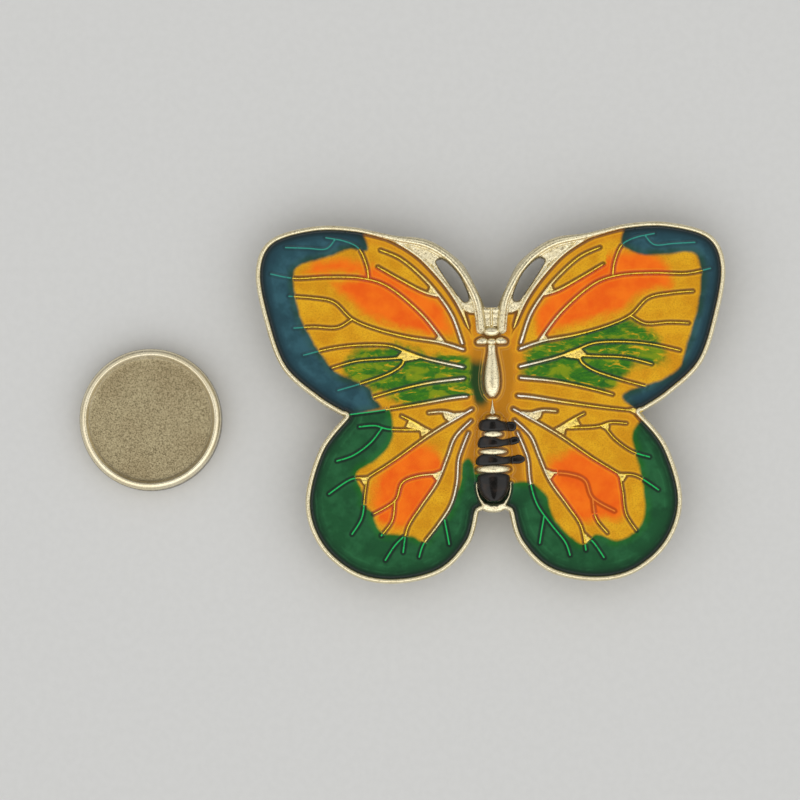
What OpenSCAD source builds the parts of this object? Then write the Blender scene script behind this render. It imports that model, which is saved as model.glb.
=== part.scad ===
// Enamelled butterfly brooch with a magnet capsule on its back and a loose magnet backing.
// Millimetres. The origin is the centre of the fixed magnet's rear face, +X to the wearer's
// left, +Y towards the antennae and +Z out of the enamelled front.

/* [Butterfly] */
// Wing span of the casting
span = 50; // [46:0.5:54]
// Thickness of the casting's floor under the enamel
plate_t = 1; // [0.9:0.05:1.2]
// Depth of the hollow in the casting's back
back_hollow = 0.4; // [0.2:0.05:0.5]
// Width of the raised rim round the wings
rim_w = 0.64; // [0.5:0.02:0.8]
// Height of the rim above the floor
rim_h = 1.1; // [1.05:0.05:1.3]
// Width of a wing vein
vein_w = 0.4; // [0.3:0.02:0.5]
// Height of a vein above the floor
vein_h = 0.95; // [0.85:0.05:1]
// Depth of the enamel poured on the floor
enamel_h = 0.75; // [0.6:0.05:0.8]
// Height of the antennae above the floor
antenna_h = 1.6; // [1.4:0.1:1.8]

/* [Magnet capsules] */
// Outer diameter of a capsule shell
shell_d = 15.2; // [15:0.1:15.6]
// Height of a capsule shell
shell_h = 3; // [2.9:0.1:3.4]
// Diameter of the tray floor on the shell's blind side
tray_d = 12.9; // [12.6:0.1:13.1]
// Depth of the tray
tray_depth = 0.5; // [0.4:0.05:0.6]
// Diameter of the disc magnet
magnet_d = 12; // [11.6:0.1:12]
// Thickness of the disc magnet
magnet_t = 1.8; // [1.5:0.1:1.8]
// Glue film round and behind a magnet
glue_t = 0.1; // [0.08:0.01:0.12]
// Bond line between the fixed capsule and the casting
bond_t = 0.2; // [0.15:0.05:0.3]

/* [Layout] */
// Distance from the fixed capsule to the loose backing as laid out
backing_x = 36.5; // [35:0.5:40]

/* [Hidden] */
$fn = 96;

back_z = shell_h + bond_t;
floor_z = back_z + plate_t;
enamel_z = floor_z + enamel_h;
vein_z = floor_z + vein_h;
rim_z = floor_z + rim_h;
antenna_z = floor_z + antenna_h;
// The outlines below are drawn for a 50 mm span and scaled to the one asked for
k = span / 50;
// Border left standing round the hollow in the back, and the boss the capsule is bonded to
hollow_border = 1.4;
boss_r = shell_d / 2 + 0.9;
spline_steps = 4;
// Finest gap kept between straight-sided layers
trim = 0.01;
// How far the body's foot stands out under its round parts
foot = 0.08;
// Width of an antenna
antenna_w = 1.1;
// All outlines belong to the right half, x outwards from the body and y towards the head
FOREWING_EDGE = [
    [15.8, -0.1], [18.8, 1.8], [22.3, 5.1], [24.1, 10], [25, 15.4], [23.5, 18.8],
    [19, 20.2], [14.5, 20.1], [10.2, 19.1], [6.6, 18.6], [3.1, 16.2], [1.5, 13.2], [0.6, 11.3]
];
HINDWING_EDGE = [
    [1.6, -10.4], [2.6, -13.7], [5.7, -16.8], [10.6, -17.9], [15, -17],
    [18.6, -13.8], [20, -9.2], [18.5, -3.6], [15.7, 0]
];
SLOT = [
    [2.4, 12.2], [2.7, 13.4], [3.5, 14.9], [4.8, 16.1],
    [5.7, 16.3], [5.2, 15.2], [4, 13.4], [3, 12.1]
];
// Front edge of the forewing, where it turns away from the antenna
FRONT_EDGE = [[12, 19.6], [9.9, 18.7], [7.6, 17.2], [5.8, 15.4], [4.2, 13.4], [2.9, 11.2], [1.8, 8.2]];
ANTENNA = [[1.1, 9], [1.2, 10.2], [1.5, 12], [2.3, 13.8], [3.4, 15.5], [4.9, 17], [7, 18.2], [9.8, 18.9]];

FOREWING_VEINS = [
    [[11.7, 17.6], [9.5, 16.6], [7.2, 14.6], [5.5, 12.6], [4.1, 10.4], [3.1, 7.5]],
    [[12, 15.8], [9.6, 14.4], [7.2, 13.1], [5.5, 12.6]],
    [[23.4, 15.2], [20.8, 14.7], [17.2, 14.8], [13.6, 14.6], [10.8, 13.6], [7.4, 10.7], [5, 7.6]],
    [[13, 14.6], [13.2, 16], [14, 17.8], [15.5, 18.6], [17.5, 19]],
    [[16.5, 18.8], [17.5, 17.8], [19.5, 17.9], [21.8, 18]],
    [[21.5, 12.8], [19, 12.6], [16.7, 12.1], [14.8, 10.3], [12.3, 9.2], [9, 8.3], [5.5, 7.7], [3, 6.9]],
    [[14.8, 10.3], [16.4, 9.4], [18.9, 9.5], [21, 9.4]],
    [[20, 6.5], [17, 7.2], [14, 7.5], [11, 7.4], [9, 6.7], [6.8, 5.9], [3, 5]],
    [[17, 5.1], [14.3, 5.8], [11, 6], [9.5, 6.1]],
    [[16.4, 2.7], [13.6, 3.5], [11, 4.4], [9.6, 5.3], [9.3, 6.2]],
    [[12.8, 1.9], [9.9, 2.7], [6.6, 3.4], [3, 3.8]],
    [[15.4, 0.1], [12, 0.5], [8, 1.1], [4.5, 1.7], [2.7, 1.9]]
];
HINDWING_VEINS = [
    [[6.8, 0.2], [5.3, 0.3], [4, 0]],
    [[2.2, 0.5], [6.5, -2], [10.5, -4.8], [13.4, -6.6]],
    [[13.4, -6.6], [15.2, -6.8], [17.5, -8.3]],
    [[13.4, -6.6], [13.7, -8.5], [14, -10.8], [15.1, -12.6]],
    [[14.2, -1.2], [12.5, -1.1], [11, -1.5], [8, -1.6]],
    [[11.8, -1.4], [13, -2.9], [14.8, -4.2], [16.6, -4.8]],
    [[9.7, -0.1], [8.5, -0.7], [7.2, -1.5]],
    [[2.3, -0.7], [4, -2.4], [4.9, -4.6], [6, -7.2], [7.8, -9.8], [9.2, -12], [9.7, -14.6]],
    [[5.7, -6.3], [8, -6.5], [9.7, -7.2], [10.5, -9.1], [12.8, -10.5]],
    [[10.5, -9.1], [10.8, -11.2], [12, -12.8]],
    [[9.7, -13], [10.6, -13.9], [11.6, -15.4]],
    [[2.6, -2], [3.3, -3.7], [3.7, -5], [3.9, -7.3], [4.6, -9.7], [6.1, -11.9], [7.5, -13.7], [8, -15.1]],
    [[5.3, -11], [5, -12.6], [4.8, -13.8]]
];
// Flat webs of metal left in the forks of the veins
WEBS = [
    [[5.3, 12.3], [6.7, 13.1], [6.4, 13.9]],
    [[4.6, 7.3], [6, 7.9], [5.6, 8.6]],
    [[7.4, 6], [9.4, 7], [10.1, 6.2], [9.2, 5.7]],
    [[3.6, -0.4], [4.4, 0.1], [4.9, -0.1], [5, -1]],
    [[6.9, -2.2], [7.6, -1.2], [8.9, -0.5], [9.4, -1.5], [8, -1.7], [7.7, -2.7]],
    [[11.2, -1.4], [12.4, -1.1], [12.3, -2]],
    [[5.5, -5.9], [6.6, -6.3], [6, -7.1]],
    [[9.4, -12.6], [10.3, -13.4], [10.4, -14.2], [9.8, -14.2]],
    [[13, -6.4], [14.3, -6.6], [13.7, -7.4]],
    [[14.2, 0.3], [16.3, 0.8], [16.3, -0.8]]
];

// Inner limit of the dark border on each wing
FOREWING_BORDER = [
    [14.8, 21], [13.9, 18.2], [14.8, 17.2], [16.6, 16.7], [19, 16.7], [21.4, 16.9], [22.3, 15.4],
    [22, 11.5], [20.5, 6.4], [19.8, 4.6], [17.7, 3.3], [14.4, 2.3], [14, 1.2], [17, -1]
];
HINDWING_BORDER = [
    [16.5, 0], [14.9, -2], [15, -4], [15.6, -6.5], [16, -10], [15.4, -12.2], [13.2, -13.6],
    [10.8, -12.9], [9.4, -13.9], [7.4, -13.1], [5.8, -11.2], [5.4, -8.6], [3.8, -7.3], [1.5, -7.3]
];
FOREWING_ORANGE = [
    [5.2, 8], [12.5, 9.5], [16.4, 12.5], [19.5, 13], [19, 16.3],
    [14.3, 16.9], [12.3, 15.5], [7, 12.8], [5.6, 11]
];
FOREWING_GREEN = [
    [3.8, 6.6], [8, 7.6], [13.5, 9.3], [18, 8.4], [18.8, 6.2],
    [15, 4.9], [13, 2.7], [9, 3.1], [3.8, 4.3]
];
HINDWING_ORANGE = [
    [6.4, -5.2], [9.4, -5], [12.6, -6.6], [13.5, -8.6], [13, -10.6],
    [10.5, -11.2], [8.2, -9.8], [6.5, -7.4]
];
// Hollow round the body that the wing enamel stops at
BODY_POOL = [
    [0, 9.6], [1.8, 8.4], [2.5, 6.4], [2.7, 3.5], [2.2, 1], [2.1, -0.5],
    [2.9, -3], [3.4, -5.6], [3.3, -8], [2.6, -10.3], [1.4, -10.6], [0, -10.6]
];

// Body parts on the centre line, as [radius, distance towards the head]
HEAD_Y = 8.75;
HEAD_PROFILE = [[0.25, -0.9], [0.5, -0.6], [0.55, 0], [0.5, 0.6], [0.25, 0.9]];
SHOULDER = [[0.5, 7.9], [1, 8.1], [1.5, 7.9], [1.6, 7.6], [1.1, 7.4], [0.5, 7.5]];
THORAX_PROFILE = [
    [0.3, 7.9], [0.5, 7.6], [0.3, 7], [0.4, 6.2], [0.7, 4.8], [0.82, 3.6], [0.7, 2.5], [0.35, 1.8]
];
ABDOMEN_PROFILE = [
    [0.6, -0.1], [1.2, -0.6], [1.5, -1.6], [1.65, -3], [1.75, -4.6],
    [1.75, -6.2], [1.6, -7.8], [1.2, -9.2], [0.6, -9.9]
];
// Rim cast round the abdomen's tip
TIP_RIM = [[0, -8], [1.8, -7.6], [1.7, -8.8], [1.35, -9.8], [0.75, -10.4], [0, -10.5]];
// Thickness of the black enamel on the abdomen
band_t = 0.25;
// Each black band's upper end, lower end, and how far its lobe runs out to the right
BANDS = [[-0.7, -1.8, 2.5], [-2.6, -3.6, 2.65], [-4.5, -5.5, 3.2]];
BLACK_TIP = [-6.5, -9.6];
// Height of a band's lobe on the enamel beside the abdomen
lobe_h = 0.15;
// Bright ribs between the bands, as [distance towards the head, thickness]
RIBS = [[-0.4, 0.35], [-2.2, 0.6], [-4.05, 0.6], [-6, 0.7]];
rib_h = 0.35;
// The round body parts' axes, against the enamel's surface
thorax_rise = 0.1;
abdomen_sink = 0.5;

// Point between p1 and p2 on the smooth curve that also passes p0 and p3
function spline_point(p0, p1, p2, p3, t) =
    0.5 * (2 * p1 + (p2 - p0) * t + (2 * p0 - 5 * p1 + 4 * p2 - p3) * t * t
        + (3 * p1 - p0 - 3 * p2 + p3) * t * t * t);

// Smooth open curve through a list of points
function smooth_open(p, n = spline_steps) = concat(
    [for (i = [0 : len(p) - 2], s = [0 : n - 1])
        spline_point(p[max(i - 1, 0)], p[i], p[i + 1], p[min(i + 2, len(p) - 1)], s / n)],
    [p[len(p) - 1]]
);

// Smooth closed curve through a list of points
function smooth_closed(p, n = spline_steps) =
    let (m = len(p))
    [for (i = [0 : m - 1], s = [0 : n - 1])
        spline_point(p[(i + m - 1) % m], p[i], p[(i + 1) % m], p[(i + 2) % m], s / n)];

// Unit normal of a line of points at point i
function normal_at(p, i) =
    let (d = p[min(i + 1, len(p) - 1)] - p[max(i - 1, 0)])
    [-d[1], d[0]] / norm(d);

// Outline of a ribbon of width w that follows a line of points
function ribbon(p, w) = concat(
    [for (i = [0 : len(p) - 1]) p[i] + normal_at(p, i) * w / 2],
    [for (i = [len(p) - 1 : -1 : 0]) p[i] - normal_at(p, i) * w / 2]
);

// A profile of [radius, place] points, closed along its axis and grown by g
function closed_profile(p, g = 0) = concat(
    [[0, p[0][1] + g]],
    [for (q = p) [q[0] + g, q[1]]],
    [[0, p[len(p) - 1][1] - g]]
);

// A drawn line with round ends
module stroke(points, w) {
    line = smooth_open(k * points, 3);
    polygon(ribbon(line, w));
    for (end = [line[0], line[len(line) - 1]])
        translate(end) circle(d = w, $fn = 16);
}

// A shape of the right half and its mirror image
module both_sides() {
    children();
    mirror([1, 0]) children();
}

// Straight-sided layer of metal between two heights. It closes gaps under 3 * trim wide and
// ends up trim / 2 larger, which is what an enamel layer gives way.
module metal_layer(z0, z1) {
    translate([0, 0, z0])
        linear_extrude(z1 - z0)
            offset(delta = -trim) offset(delta = 1.5 * trim) children();
}

// Straight-sided layer of enamel between two heights, trim / 2 smaller than its outline and
// without the outline's slivers under 2 * trim wide
module enamel_layer(z0, z1) {
    translate([0, 0, z0])
        linear_extrude(z1 - z0)
            offset(delta = -trim / 2) intersection() {
                offset(delta = trim) offset(delta = -trim) children();
                children();
            }
}

// Half-round body part above the enamel, turned about an axis along Y
module half_round(profile, axis_z, g = 0) {
    intersection() {
        translate([0, 0, axis_z])
            rotate([-90, 0, 0])
                rotate_extrude() polygon(k * closed_profile(profile, g / k));
        translate([-10 * k, -12 * k, enamel_z]) cube([20 * k, 24 * k, 10]);
    }
}

module forewing_shape() {
    polygon(k * concat(smooth_open(FOREWING_EDGE), [[0, 11.3], [0, -2], [12, -2]]));
}

module hindwing_shape() {
    polygon(k * concat(smooth_open(HINDWING_EDGE), [[12, 2], [0, 2], [0, -9.6]]));
}

module body_footprint() {
    both_sides() {
        polygon(k * closed_profile(ABDOMEN_PROFILE, foot));
        polygon(k * TIP_RIM);
        polygon(k * closed_profile(THORAX_PROFILE, foot));
        polygon(k * SHOULDER);
    }
    translate([0, HEAD_Y * k]) rotate(-90) both_sides() polygon(k * closed_profile(HEAD_PROFILE, foot));
}

// Rim round the black tip of the abdomen
module tip_rim_shape() {
    both_sides() difference() {
        polygon(k * TIP_RIM);
        polygon(k * closed_profile(ABDOMEN_PROFILE, band_t + foot));
    }
}

// The whole casting seen from the front
module outline() {
    difference() {
        both_sides() {
            forewing_shape();
            hindwing_shape();
        }
        both_sides() polygon(k * smooth_closed(SLOT));
    }
    body_footprint();
}

// Forewing without the antenna that runs along its front edge
module forewing_panel() {
    intersection() {
        forewing_shape();
        polygon(k * concat(smooth_open(FRONT_EDGE), [[0, 8.2], [0, -3], [30, -3], [30, 22], [12, 22]]));
    }
}

// Inner face of the rim, which bounds the enamel of one side
module enamel_bed() {
    offset(delta = -rim_w) forewing_panel();
    offset(delta = -rim_w) hindwing_shape();
    polygon(k * concat(BODY_POOL, [[0, 0]]));
}

// Rims, antennae and the metal round the slots
module border_shape() {
    difference() {
        outline();
        both_sides() enamel_bed();
    }
}

// Metal that stands above the enamel: the border, the veins and the webs in their forks
module raised_shape() {
    border_shape();
    tip_rim_shape();
    both_sides() {
        for (v = FOREWING_VEINS) stroke(v, vein_w);
        for (v = HINDWING_VEINS) stroke(v, vein_w);
        for (w = WEBS) polygon(k * w);
    }
}

// All metal at the enamel's level
module metal_shape() {
    raised_shape();
    body_footprint();
}

// Everything on the hindwing's side of the line between the two wings
module hindwing_side() {
    polygon(k * concat(
        smooth_open([[17.5, -0.5], [15.4, 0.1], [12, 0.5], [8, 1.1], [4.5, 1.7], [0, 2.2]]),
        [[0, -20], [24, -20], [24, -0.5]]
    ));
}

module forewing_field() {
    difference() {
        enamel_bed();
        hindwing_side();
        polygon(k * BODY_POOL);
        metal_shape();
    }
}

module hindwing_field() {
    difference() {
        intersection() {
            enamel_bed();
            hindwing_side();
        }
        polygon(k * BODY_POOL);
        metal_shape();
    }
}

module forewing_inside() {
    polygon(k * concat(smooth_open(FOREWING_BORDER), [[-1, -1], [-1, 21]]));
}

module hindwing_inside() {
    polygon(k * concat(smooth_open(HINDWING_BORDER), [[-1, -7.3], [-1, 3], [16.5, 3]]));
}

// Zinc casting, plated pale gold
module casting() {
    color("khaki") difference() {
        union() {
            metal_layer(back_z, floor_z) outline();
            metal_layer(floor_z, enamel_z) metal_shape();
            metal_layer(enamel_z, vein_z) raised_shape();
            metal_layer(vein_z, rim_z) border_shape();
            metal_layer(rim_z, antenna_z) both_sides() stroke(ANTENNA, antenna_w * k);
            half_round(THORAX_PROFILE, enamel_z + thorax_rise);
            half_round(ABDOMEN_PROFILE, enamel_z - abdomen_sink);
            head();
            for (r = RIBS) rib(r[0], r[1]);
        }
        metal_layer(back_z - 1, back_z + back_hollow) difference() {
            offset(delta = -hollow_border) outline();
            circle(r = boss_r);
        }
    }
}

module head() {
    translate([0, HEAD_Y * k, 0])
        rotate([0, 0, -90])
            half_round(HEAD_PROFILE, enamel_z + thorax_rise);
}

// One bright rib over the abdomen
module rib(y, t) {
    intersection() {
        half_round(ABDOMEN_PROFILE, enamel_z - abdomen_sink, rib_h);
        translate([-3 * k, (y - t / 2) * k, enamel_z]) cube([6 * k, t * k, 5]);
    }
}

// Black enamel laid over the abdomen between two places along it
module black_skin(y0, y1) {
    difference() {
        intersection() {
            half_round(ABDOMEN_PROFILE, enamel_z - abdomen_sink, band_t);
            translate([-3 * k, y1 * k, enamel_z]) cube([6 * k, (y0 - y1) * k, 5]);
        }
        abdomen_core();
    }
}

module abdomen_core() {
    translate([0, 0, enamel_z - abdomen_sink])
        rotate([-90, 0, 0])
            rotate_extrude() polygon(k * closed_profile(ABDOMEN_PROFILE));
}

// A black band and the lobe that it runs out into on the right
module band(b) {
    lobe_w = (b[0] - b[1]) * 0.8;
    lobe_y = (b[0] + b[1]) / 2;
    color([0.08, 0.07, 0.06]) {
        black_skin(b[0], b[1]);
        difference() {
            enamel_layer(enamel_z, enamel_z + lobe_h)
                stroke([[0, lobe_y], [b[2] - lobe_w / 2, lobe_y]], lobe_w * k);
            abdomen_core();
        }
    }
}

module abdomen_band_1() {
    band(BANDS[0]);
}

module abdomen_band_2() {
    band(BANDS[1]);
}

module abdomen_band_3() {
    band(BANDS[2]);
}

module abdomen_tip() {
    color([0.08, 0.07, 0.06]) black_skin(BLACK_TIP[0], BLACK_TIP[1]);
}

// Enamel of one colour on one side, poured on the casting's floor
module pour(colour, left) {
    color(colour)
        mirror([left ? 1 : 0, 0, 0])
            enamel_layer(floor_z, enamel_z) children();
}

module forewing_amber(left) {
    pour("goldenrod", left) difference() {
        intersection() {
            forewing_field();
            forewing_inside();
        }
        polygon(k * FOREWING_ORANGE);
        polygon(k * FOREWING_GREEN);
    }
}

module forewing_teal(left) {
    pour("darkslategray", left) difference() {
        forewing_field();
        forewing_inside();
    }
}

module forewing_orange(left) {
    pour("orangered", left) intersection() {
        forewing_field();
        forewing_inside();
        polygon(k * FOREWING_ORANGE);
    }
}

module forewing_green(left) {
    pour("forestgreen", left) intersection() {
        forewing_field();
        forewing_inside();
        polygon(k * FOREWING_GREEN);
    }
}

module hindwing_amber(left) {
    pour("goldenrod", left) difference() {
        intersection() {
            hindwing_field();
            hindwing_inside();
        }
        polygon(k * HINDWING_ORANGE);
    }
}

module hindwing_green(left) {
    pour("darkgreen", left) difference() {
        hindwing_field();
        hindwing_inside();
    }
}

module hindwing_orange(left) {
    pour("orangered", left) intersection() {
        hindwing_field();
        hindwing_inside();
        polygon(k * HINDWING_ORANGE);
    }
}

// Enamel pooled in the hollow round the body
module body_enamel(left) {
    pour("darkorange", left) difference() {
        polygon(k * concat(BODY_POOL, [[0, 0]]));
        metal_shape();
    }
}

// Round shell with a shallow tray on one side and the magnet's pocket on the other
module shell() {
    r = shell_d / 2;
    pocket_r = magnet_d / 2 + glue_t;
    pocket_h = magnet_t + glue_t;
    tray_z = shell_h - tray_depth;
    rotate_extrude() polygon([
        [pocket_r, 0], [r - 0.4, 0], [r - 0.1, 0.25], [r, 0.7], [r, shell_h - 0.9],
        [r - 0.1, shell_h - 0.4], [r - 0.3, shell_h - 0.1], [r - 0.6, shell_h], [r - 0.85, shell_h - 0.1],
        [tray_d / 2, tray_z], [0, tray_z], [0, pocket_h], [pocket_r, pocket_h]
    ]);
}

module magnet() {
    color([0.75, 0.76, 0.78]) cylinder(d = magnet_d, h = magnet_t);
}

// Film of glue behind and round a magnet
module magnet_glue() {
    color([0.85, 0.8, 0.6]) difference() {
        cylinder(d = magnet_d + 2 * glue_t, h = magnet_t + glue_t);
        translate([0, 0, -1]) cylinder(d = magnet_d, h = magnet_t + 1);
    }
}

// Epoxy that fills the fixed shell's tray and holds it to the casting
module capsule_bond() {
    r = shell_d / 2;
    color([0.85, 0.8, 0.6]) rotate_extrude() polygon([
        [0, shell_h - tray_depth], [tray_d / 2, shell_h - tray_depth],
        [r - 0.85, shell_h - 0.1], [r - 0.6, shell_h], [r - 0.4, back_z], [0, back_z]
    ]);
}

module fixed_shell() {
    color([0.8, 0.74, 0.55]) shell();
}

module fixed_magnet() {
    magnet();
}

module fixed_magnet_glue() {
    magnet_glue();
}

module backing_shell() {
    color([0.8, 0.74, 0.55]) translate([-backing_x, 0, 0]) shell();
}

module backing_magnet() {
    translate([-backing_x, 0, 0]) magnet();
}

module backing_magnet_glue() {
    translate([-backing_x, 0, 0]) magnet_glue();
}

casting();
forewing_amber(true);  // forewing_amber_left
forewing_amber(false);  // forewing_amber_right
forewing_teal(true);  // forewing_teal_left
forewing_teal(false);  // forewing_teal_right
forewing_orange(true);  // forewing_orange_left
forewing_orange(false);  // forewing_orange_right
forewing_green(true);  // forewing_green_left
forewing_green(false);  // forewing_green_right
hindwing_amber(true);  // hindwing_amber_left
hindwing_amber(false);  // hindwing_amber_right
hindwing_green(true);  // hindwing_green_left
hindwing_green(false);  // hindwing_green_right
hindwing_orange(true);  // hindwing_orange_left
hindwing_orange(false);  // hindwing_orange_right
body_enamel(true);  // body_enamel_left
body_enamel(false);  // body_enamel_right
abdomen_band_1();
abdomen_band_2();
abdomen_band_3();
abdomen_tip();
capsule_bond();
fixed_shell();
fixed_magnet();
fixed_magnet_glue();
backing_shell();
backing_magnet();
backing_magnet_glue();
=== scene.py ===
"""Enamelled butterfly brooch and its loose magnet backing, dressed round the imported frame.

Lengths are millimetres in every function here and become metres where a mesh is made.
"""
import functools
import math

import bpy
import numpy as np
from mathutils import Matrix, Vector, noise
from mathutils.geometry import delaunay_2d_cdt


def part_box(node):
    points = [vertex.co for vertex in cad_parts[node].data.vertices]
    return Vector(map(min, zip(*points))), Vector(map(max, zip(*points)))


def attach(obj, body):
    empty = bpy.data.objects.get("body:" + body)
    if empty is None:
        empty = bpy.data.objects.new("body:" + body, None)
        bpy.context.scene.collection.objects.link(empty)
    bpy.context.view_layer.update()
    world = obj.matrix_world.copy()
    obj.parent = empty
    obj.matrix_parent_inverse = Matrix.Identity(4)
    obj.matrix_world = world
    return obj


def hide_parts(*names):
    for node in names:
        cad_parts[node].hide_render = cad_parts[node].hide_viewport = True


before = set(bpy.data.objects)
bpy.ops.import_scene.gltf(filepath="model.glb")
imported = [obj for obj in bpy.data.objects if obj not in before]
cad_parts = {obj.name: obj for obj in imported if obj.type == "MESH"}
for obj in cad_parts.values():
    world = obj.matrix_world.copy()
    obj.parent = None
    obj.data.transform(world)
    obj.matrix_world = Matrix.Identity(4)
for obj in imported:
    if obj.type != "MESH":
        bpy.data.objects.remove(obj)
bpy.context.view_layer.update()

MM = 0.001
CASTING_SLOT = "gold_plated_casting"
# How far the depths in a colour zone are measured
REACH = 3.0

# ---------------------------------------------------------------------------------------------
# Levels and sizes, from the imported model


def box_mm(node):
    """A CAD node's lowest and highest corners in millimetres."""
    low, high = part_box(node)
    return np.array(low) / MM, np.array(high) / MM


CASTING_LOW, CASTING_HIGH = box_mm("casting")
POUR_LOW, POUR_HIGH = box_mm("forewing_teal_right")
SHELL_LOW, SHELL_HIGH = box_mm("fixed_shell")
BACKING_LOW, BACKING_HIGH = box_mm("backing_shell")
_, MAGNET_HIGH = box_mm("fixed_magnet")
BACK_Z = CASTING_LOW[2]
FLOOR_Z = POUR_LOW[2]
ENAMEL_Z = POUR_HIGH[2]
VEIN_Z = ENAMEL_Z + 0.18
RIM_Z = ENAMEL_Z + 0.35
ANTENNA_Z = ENAMEL_Z + 0.85
RIM_W = 0.58
VEIN_W = 0.37
ANTENNA_HALF_W = 0.57
HOLLOW = 0.4
HOLLOW_BORDER = 1.4
SHELL_R = (SHELL_HIGH[0] - SHELL_LOW[0]) / 2
SHELL_TOP = SHELL_HIGH[2]
TRAY_Z = SHELL_TOP - 0.5
BOSS_R = SHELL_R + 0.9
BACKING_X = (BACKING_LOW[0] + BACKING_HIGH[0]) / 2

# ---------------------------------------------------------------------------------------------
# Outlines of the right half: x outwards from the body, y towards the head

TAIL_EDGE = [[0, -10.5], [0.75, -10.4], [1.2, -10.2]]
HINDWING_EDGE = [
    [1.6, -10.4], [2.6, -13.7], [5.7, -16.8], [10.6, -17.9], [15, -17],
    [18.6, -13.8], [20, -9.2], [18.5, -3.6], [15.7, 0],
]
FOREWING_EDGE = [
    [15.8, -0.1], [18.8, 1.8], [22.3, 5.1], [24.1, 10], [25, 15.4], [23.5, 18.8],
    [19, 20.2], [14.5, 20.1], [10.2, 19.1], [6.6, 18.6], [3.1, 16.2], [1.5, 13.2], [0.6, 11.3],
]
SLOT = [
    [2.35, 12.3], [2.7, 13.5], [3.45, 15], [4.6, 16.25], [5.3, 16.6],
    [5.8, 16.3], [5.3, 15.3], [4.1, 13.5], [3.1, 12.15], [2.65, 11.95],
]
FRONT_EDGE = [[12, 19.6], [9.9, 18.7], [7.6, 17.2], [5.8, 15.4], [4.2, 13.4], [2.9, 11.2], [1.8, 8.2]]
ANTENNA = [
    [1.1, 9], [1.2, 10.2], [1.5, 12], [2.3, 13.8], [3.4, 15.5], [4.9, 17], [7, 18.15], [9.8, 18.72],
    [12, 19.25], [14, 19.72],
]
SPAR = [[21.5, 12.8], [19, 12.6], [16.7, 12.1], [14.8, 10.3], [12.3, 9.2], [9, 8.3], [5.5, 7.7], [3, 6.9]]
SPUR = [[12, 15.8], [9.6, 14.4], [7.2, 13.1], [5.5, 12.6]]
LOW_VEIN = [[12.8, 1.9], [9.9, 2.7], [6.6, 3.4], [3, 3.8]]
FOREWING_VEINS = [
    SPAR, SPUR, LOW_VEIN,
    [[11.7, 17.6], [9.5, 16.6], [7.2, 14.6], [5.5, 12.6], [4.1, 10.4], [3.1, 7.5]],
    [[23.4, 15.2], [20.8, 14.7], [17.2, 14.8], [13.6, 14.6], [10.8, 13.6], [7.4, 10.7], [5, 7.6]],
    [[13, 14.6], [13.2, 16], [14, 17.8], [15.5, 18.6], [17.5, 19]],
    [[16.5, 18.8], [17.5, 17.8], [19.5, 17.9], [21.8, 18]],
    [[14.8, 10.3], [16.4, 9.4], [18.9, 9.5], [21, 9.4]],
    [[20, 6.5], [17, 7.2], [14, 7.5], [11, 7.4], [9, 6.7], [6.8, 5.9], [3, 5]],
    [[17, 5.1], [14.3, 5.8], [11, 6], [9.5, 6.1]],
    [[16.4, 2.7], [13.6, 3.5], [11, 4.4], [9.6, 5.3], [9.3, 6.2]],
    [[15.4, 0.1], [12, 0.5], [8, 1.1], [4.5, 1.7], [2.7, 1.9]],
]
LONG_RAY = [[2.2, 0.5], [6.5, -2], [10.5, -4.8], [13.4, -6.6]]
LOW_RAY = [[13.4, -6.6], [13.7, -8.5], [14, -10.8], [15.1, -12.6]]
INNER_RAY = [[2.3, -0.7], [4, -2.4], [4.9, -4.6], [6, -7.2], [7.8, -9.8], [9.2, -12], [9.7, -14.6]]
HINDWING_VEINS = [
    LONG_RAY, LOW_RAY, INNER_RAY,
    [[6.8, 0.2], [5.3, 0.3], [4, 0]],
    [[13.4, -6.6], [15.2, -6.8], [17.5, -8.3]],
    [[14.2, -1.2], [12.5, -1.1], [11, -1.5], [8, -1.6]],
    [[11.8, -1.4], [13, -2.9], [14.8, -4.2], [16.6, -4.8]],
    [[9.7, -0.1], [8.5, -0.7], [7.2, -1.5]],
    [[5.7, -6.3], [8, -6.5], [9.7, -7.2], [10.5, -9.1], [12.8, -10.5]],
    [[10.5, -9.1], [10.8, -11.2], [12, -12.8]],
    [[9.7, -13], [10.6, -13.9], [11.6, -15.4]],
    [[2.6, -2], [3.3, -3.7], [3.7, -5], [3.9, -7.3], [4.6, -9.7], [6.1, -11.9], [7.5, -13.7], [8, -15.1]],
    [[5.3, -11], [5, -12.6], [4.8, -13.8]],
]
# Rough metal left flat in the forks of the veins
WEBS = [
    [[5.3, 12.3], [6.7, 13.1], [6.4, 13.9]],
    [[4.6, 7.3], [6, 7.9], [5.6, 8.6]],
    [[7.4, 6], [9.4, 7], [10.1, 6.2], [9.2, 5.7]],
    [[2.8, 0.25], [4.4, 0.15], [5.3, 0.15], [5.1, -0.4], [4.7, -0.75], [3.6, -0.2]],
    [[6.5, -1.7], [7.3, -1.3], [8, -0.85], [8.9, -0.5], [9.3, -1.35], [8.2, -1.5], [7.7, -1.8],
     [7.6, -2.4]],
    [[11.2, -1.4], [12.4, -1.1], [12.3, -2]],
    [[5.5, -5.9], [6.6, -6.3], [6, -7.1]],
    [[9.4, -12.6], [10.3, -13.4], [10.4, -14.2], [9.8, -14.2]],
    [[13, -6.4], [14.3, -6.6], [13.7, -7.4]],
    [[14.2, 0.3], [16.3, 0.8], [16.3, -0.8]],
]
# Rough metal beside the antennae: below the slot, above it, and between the antennae's feet
FRONT_PLATES = [
    [[2.2, 12.6], [3.6, 12.6], [3.2, 11.6], [2.8, 11], [2.3, 10.75], [1.5, 10.7], [1.4, 11.3]],
    [[4.6, 15.8], [6, 15.7], [9.9, 18.9], [11.6, 19.6], [9, 19], [5.4, 17.2]],
]
NECK_PLATE = [[0, 11.4], [0.7, 11.4], [1.3, 11], [1.3, 9.3], [0, 9.2]]
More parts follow.
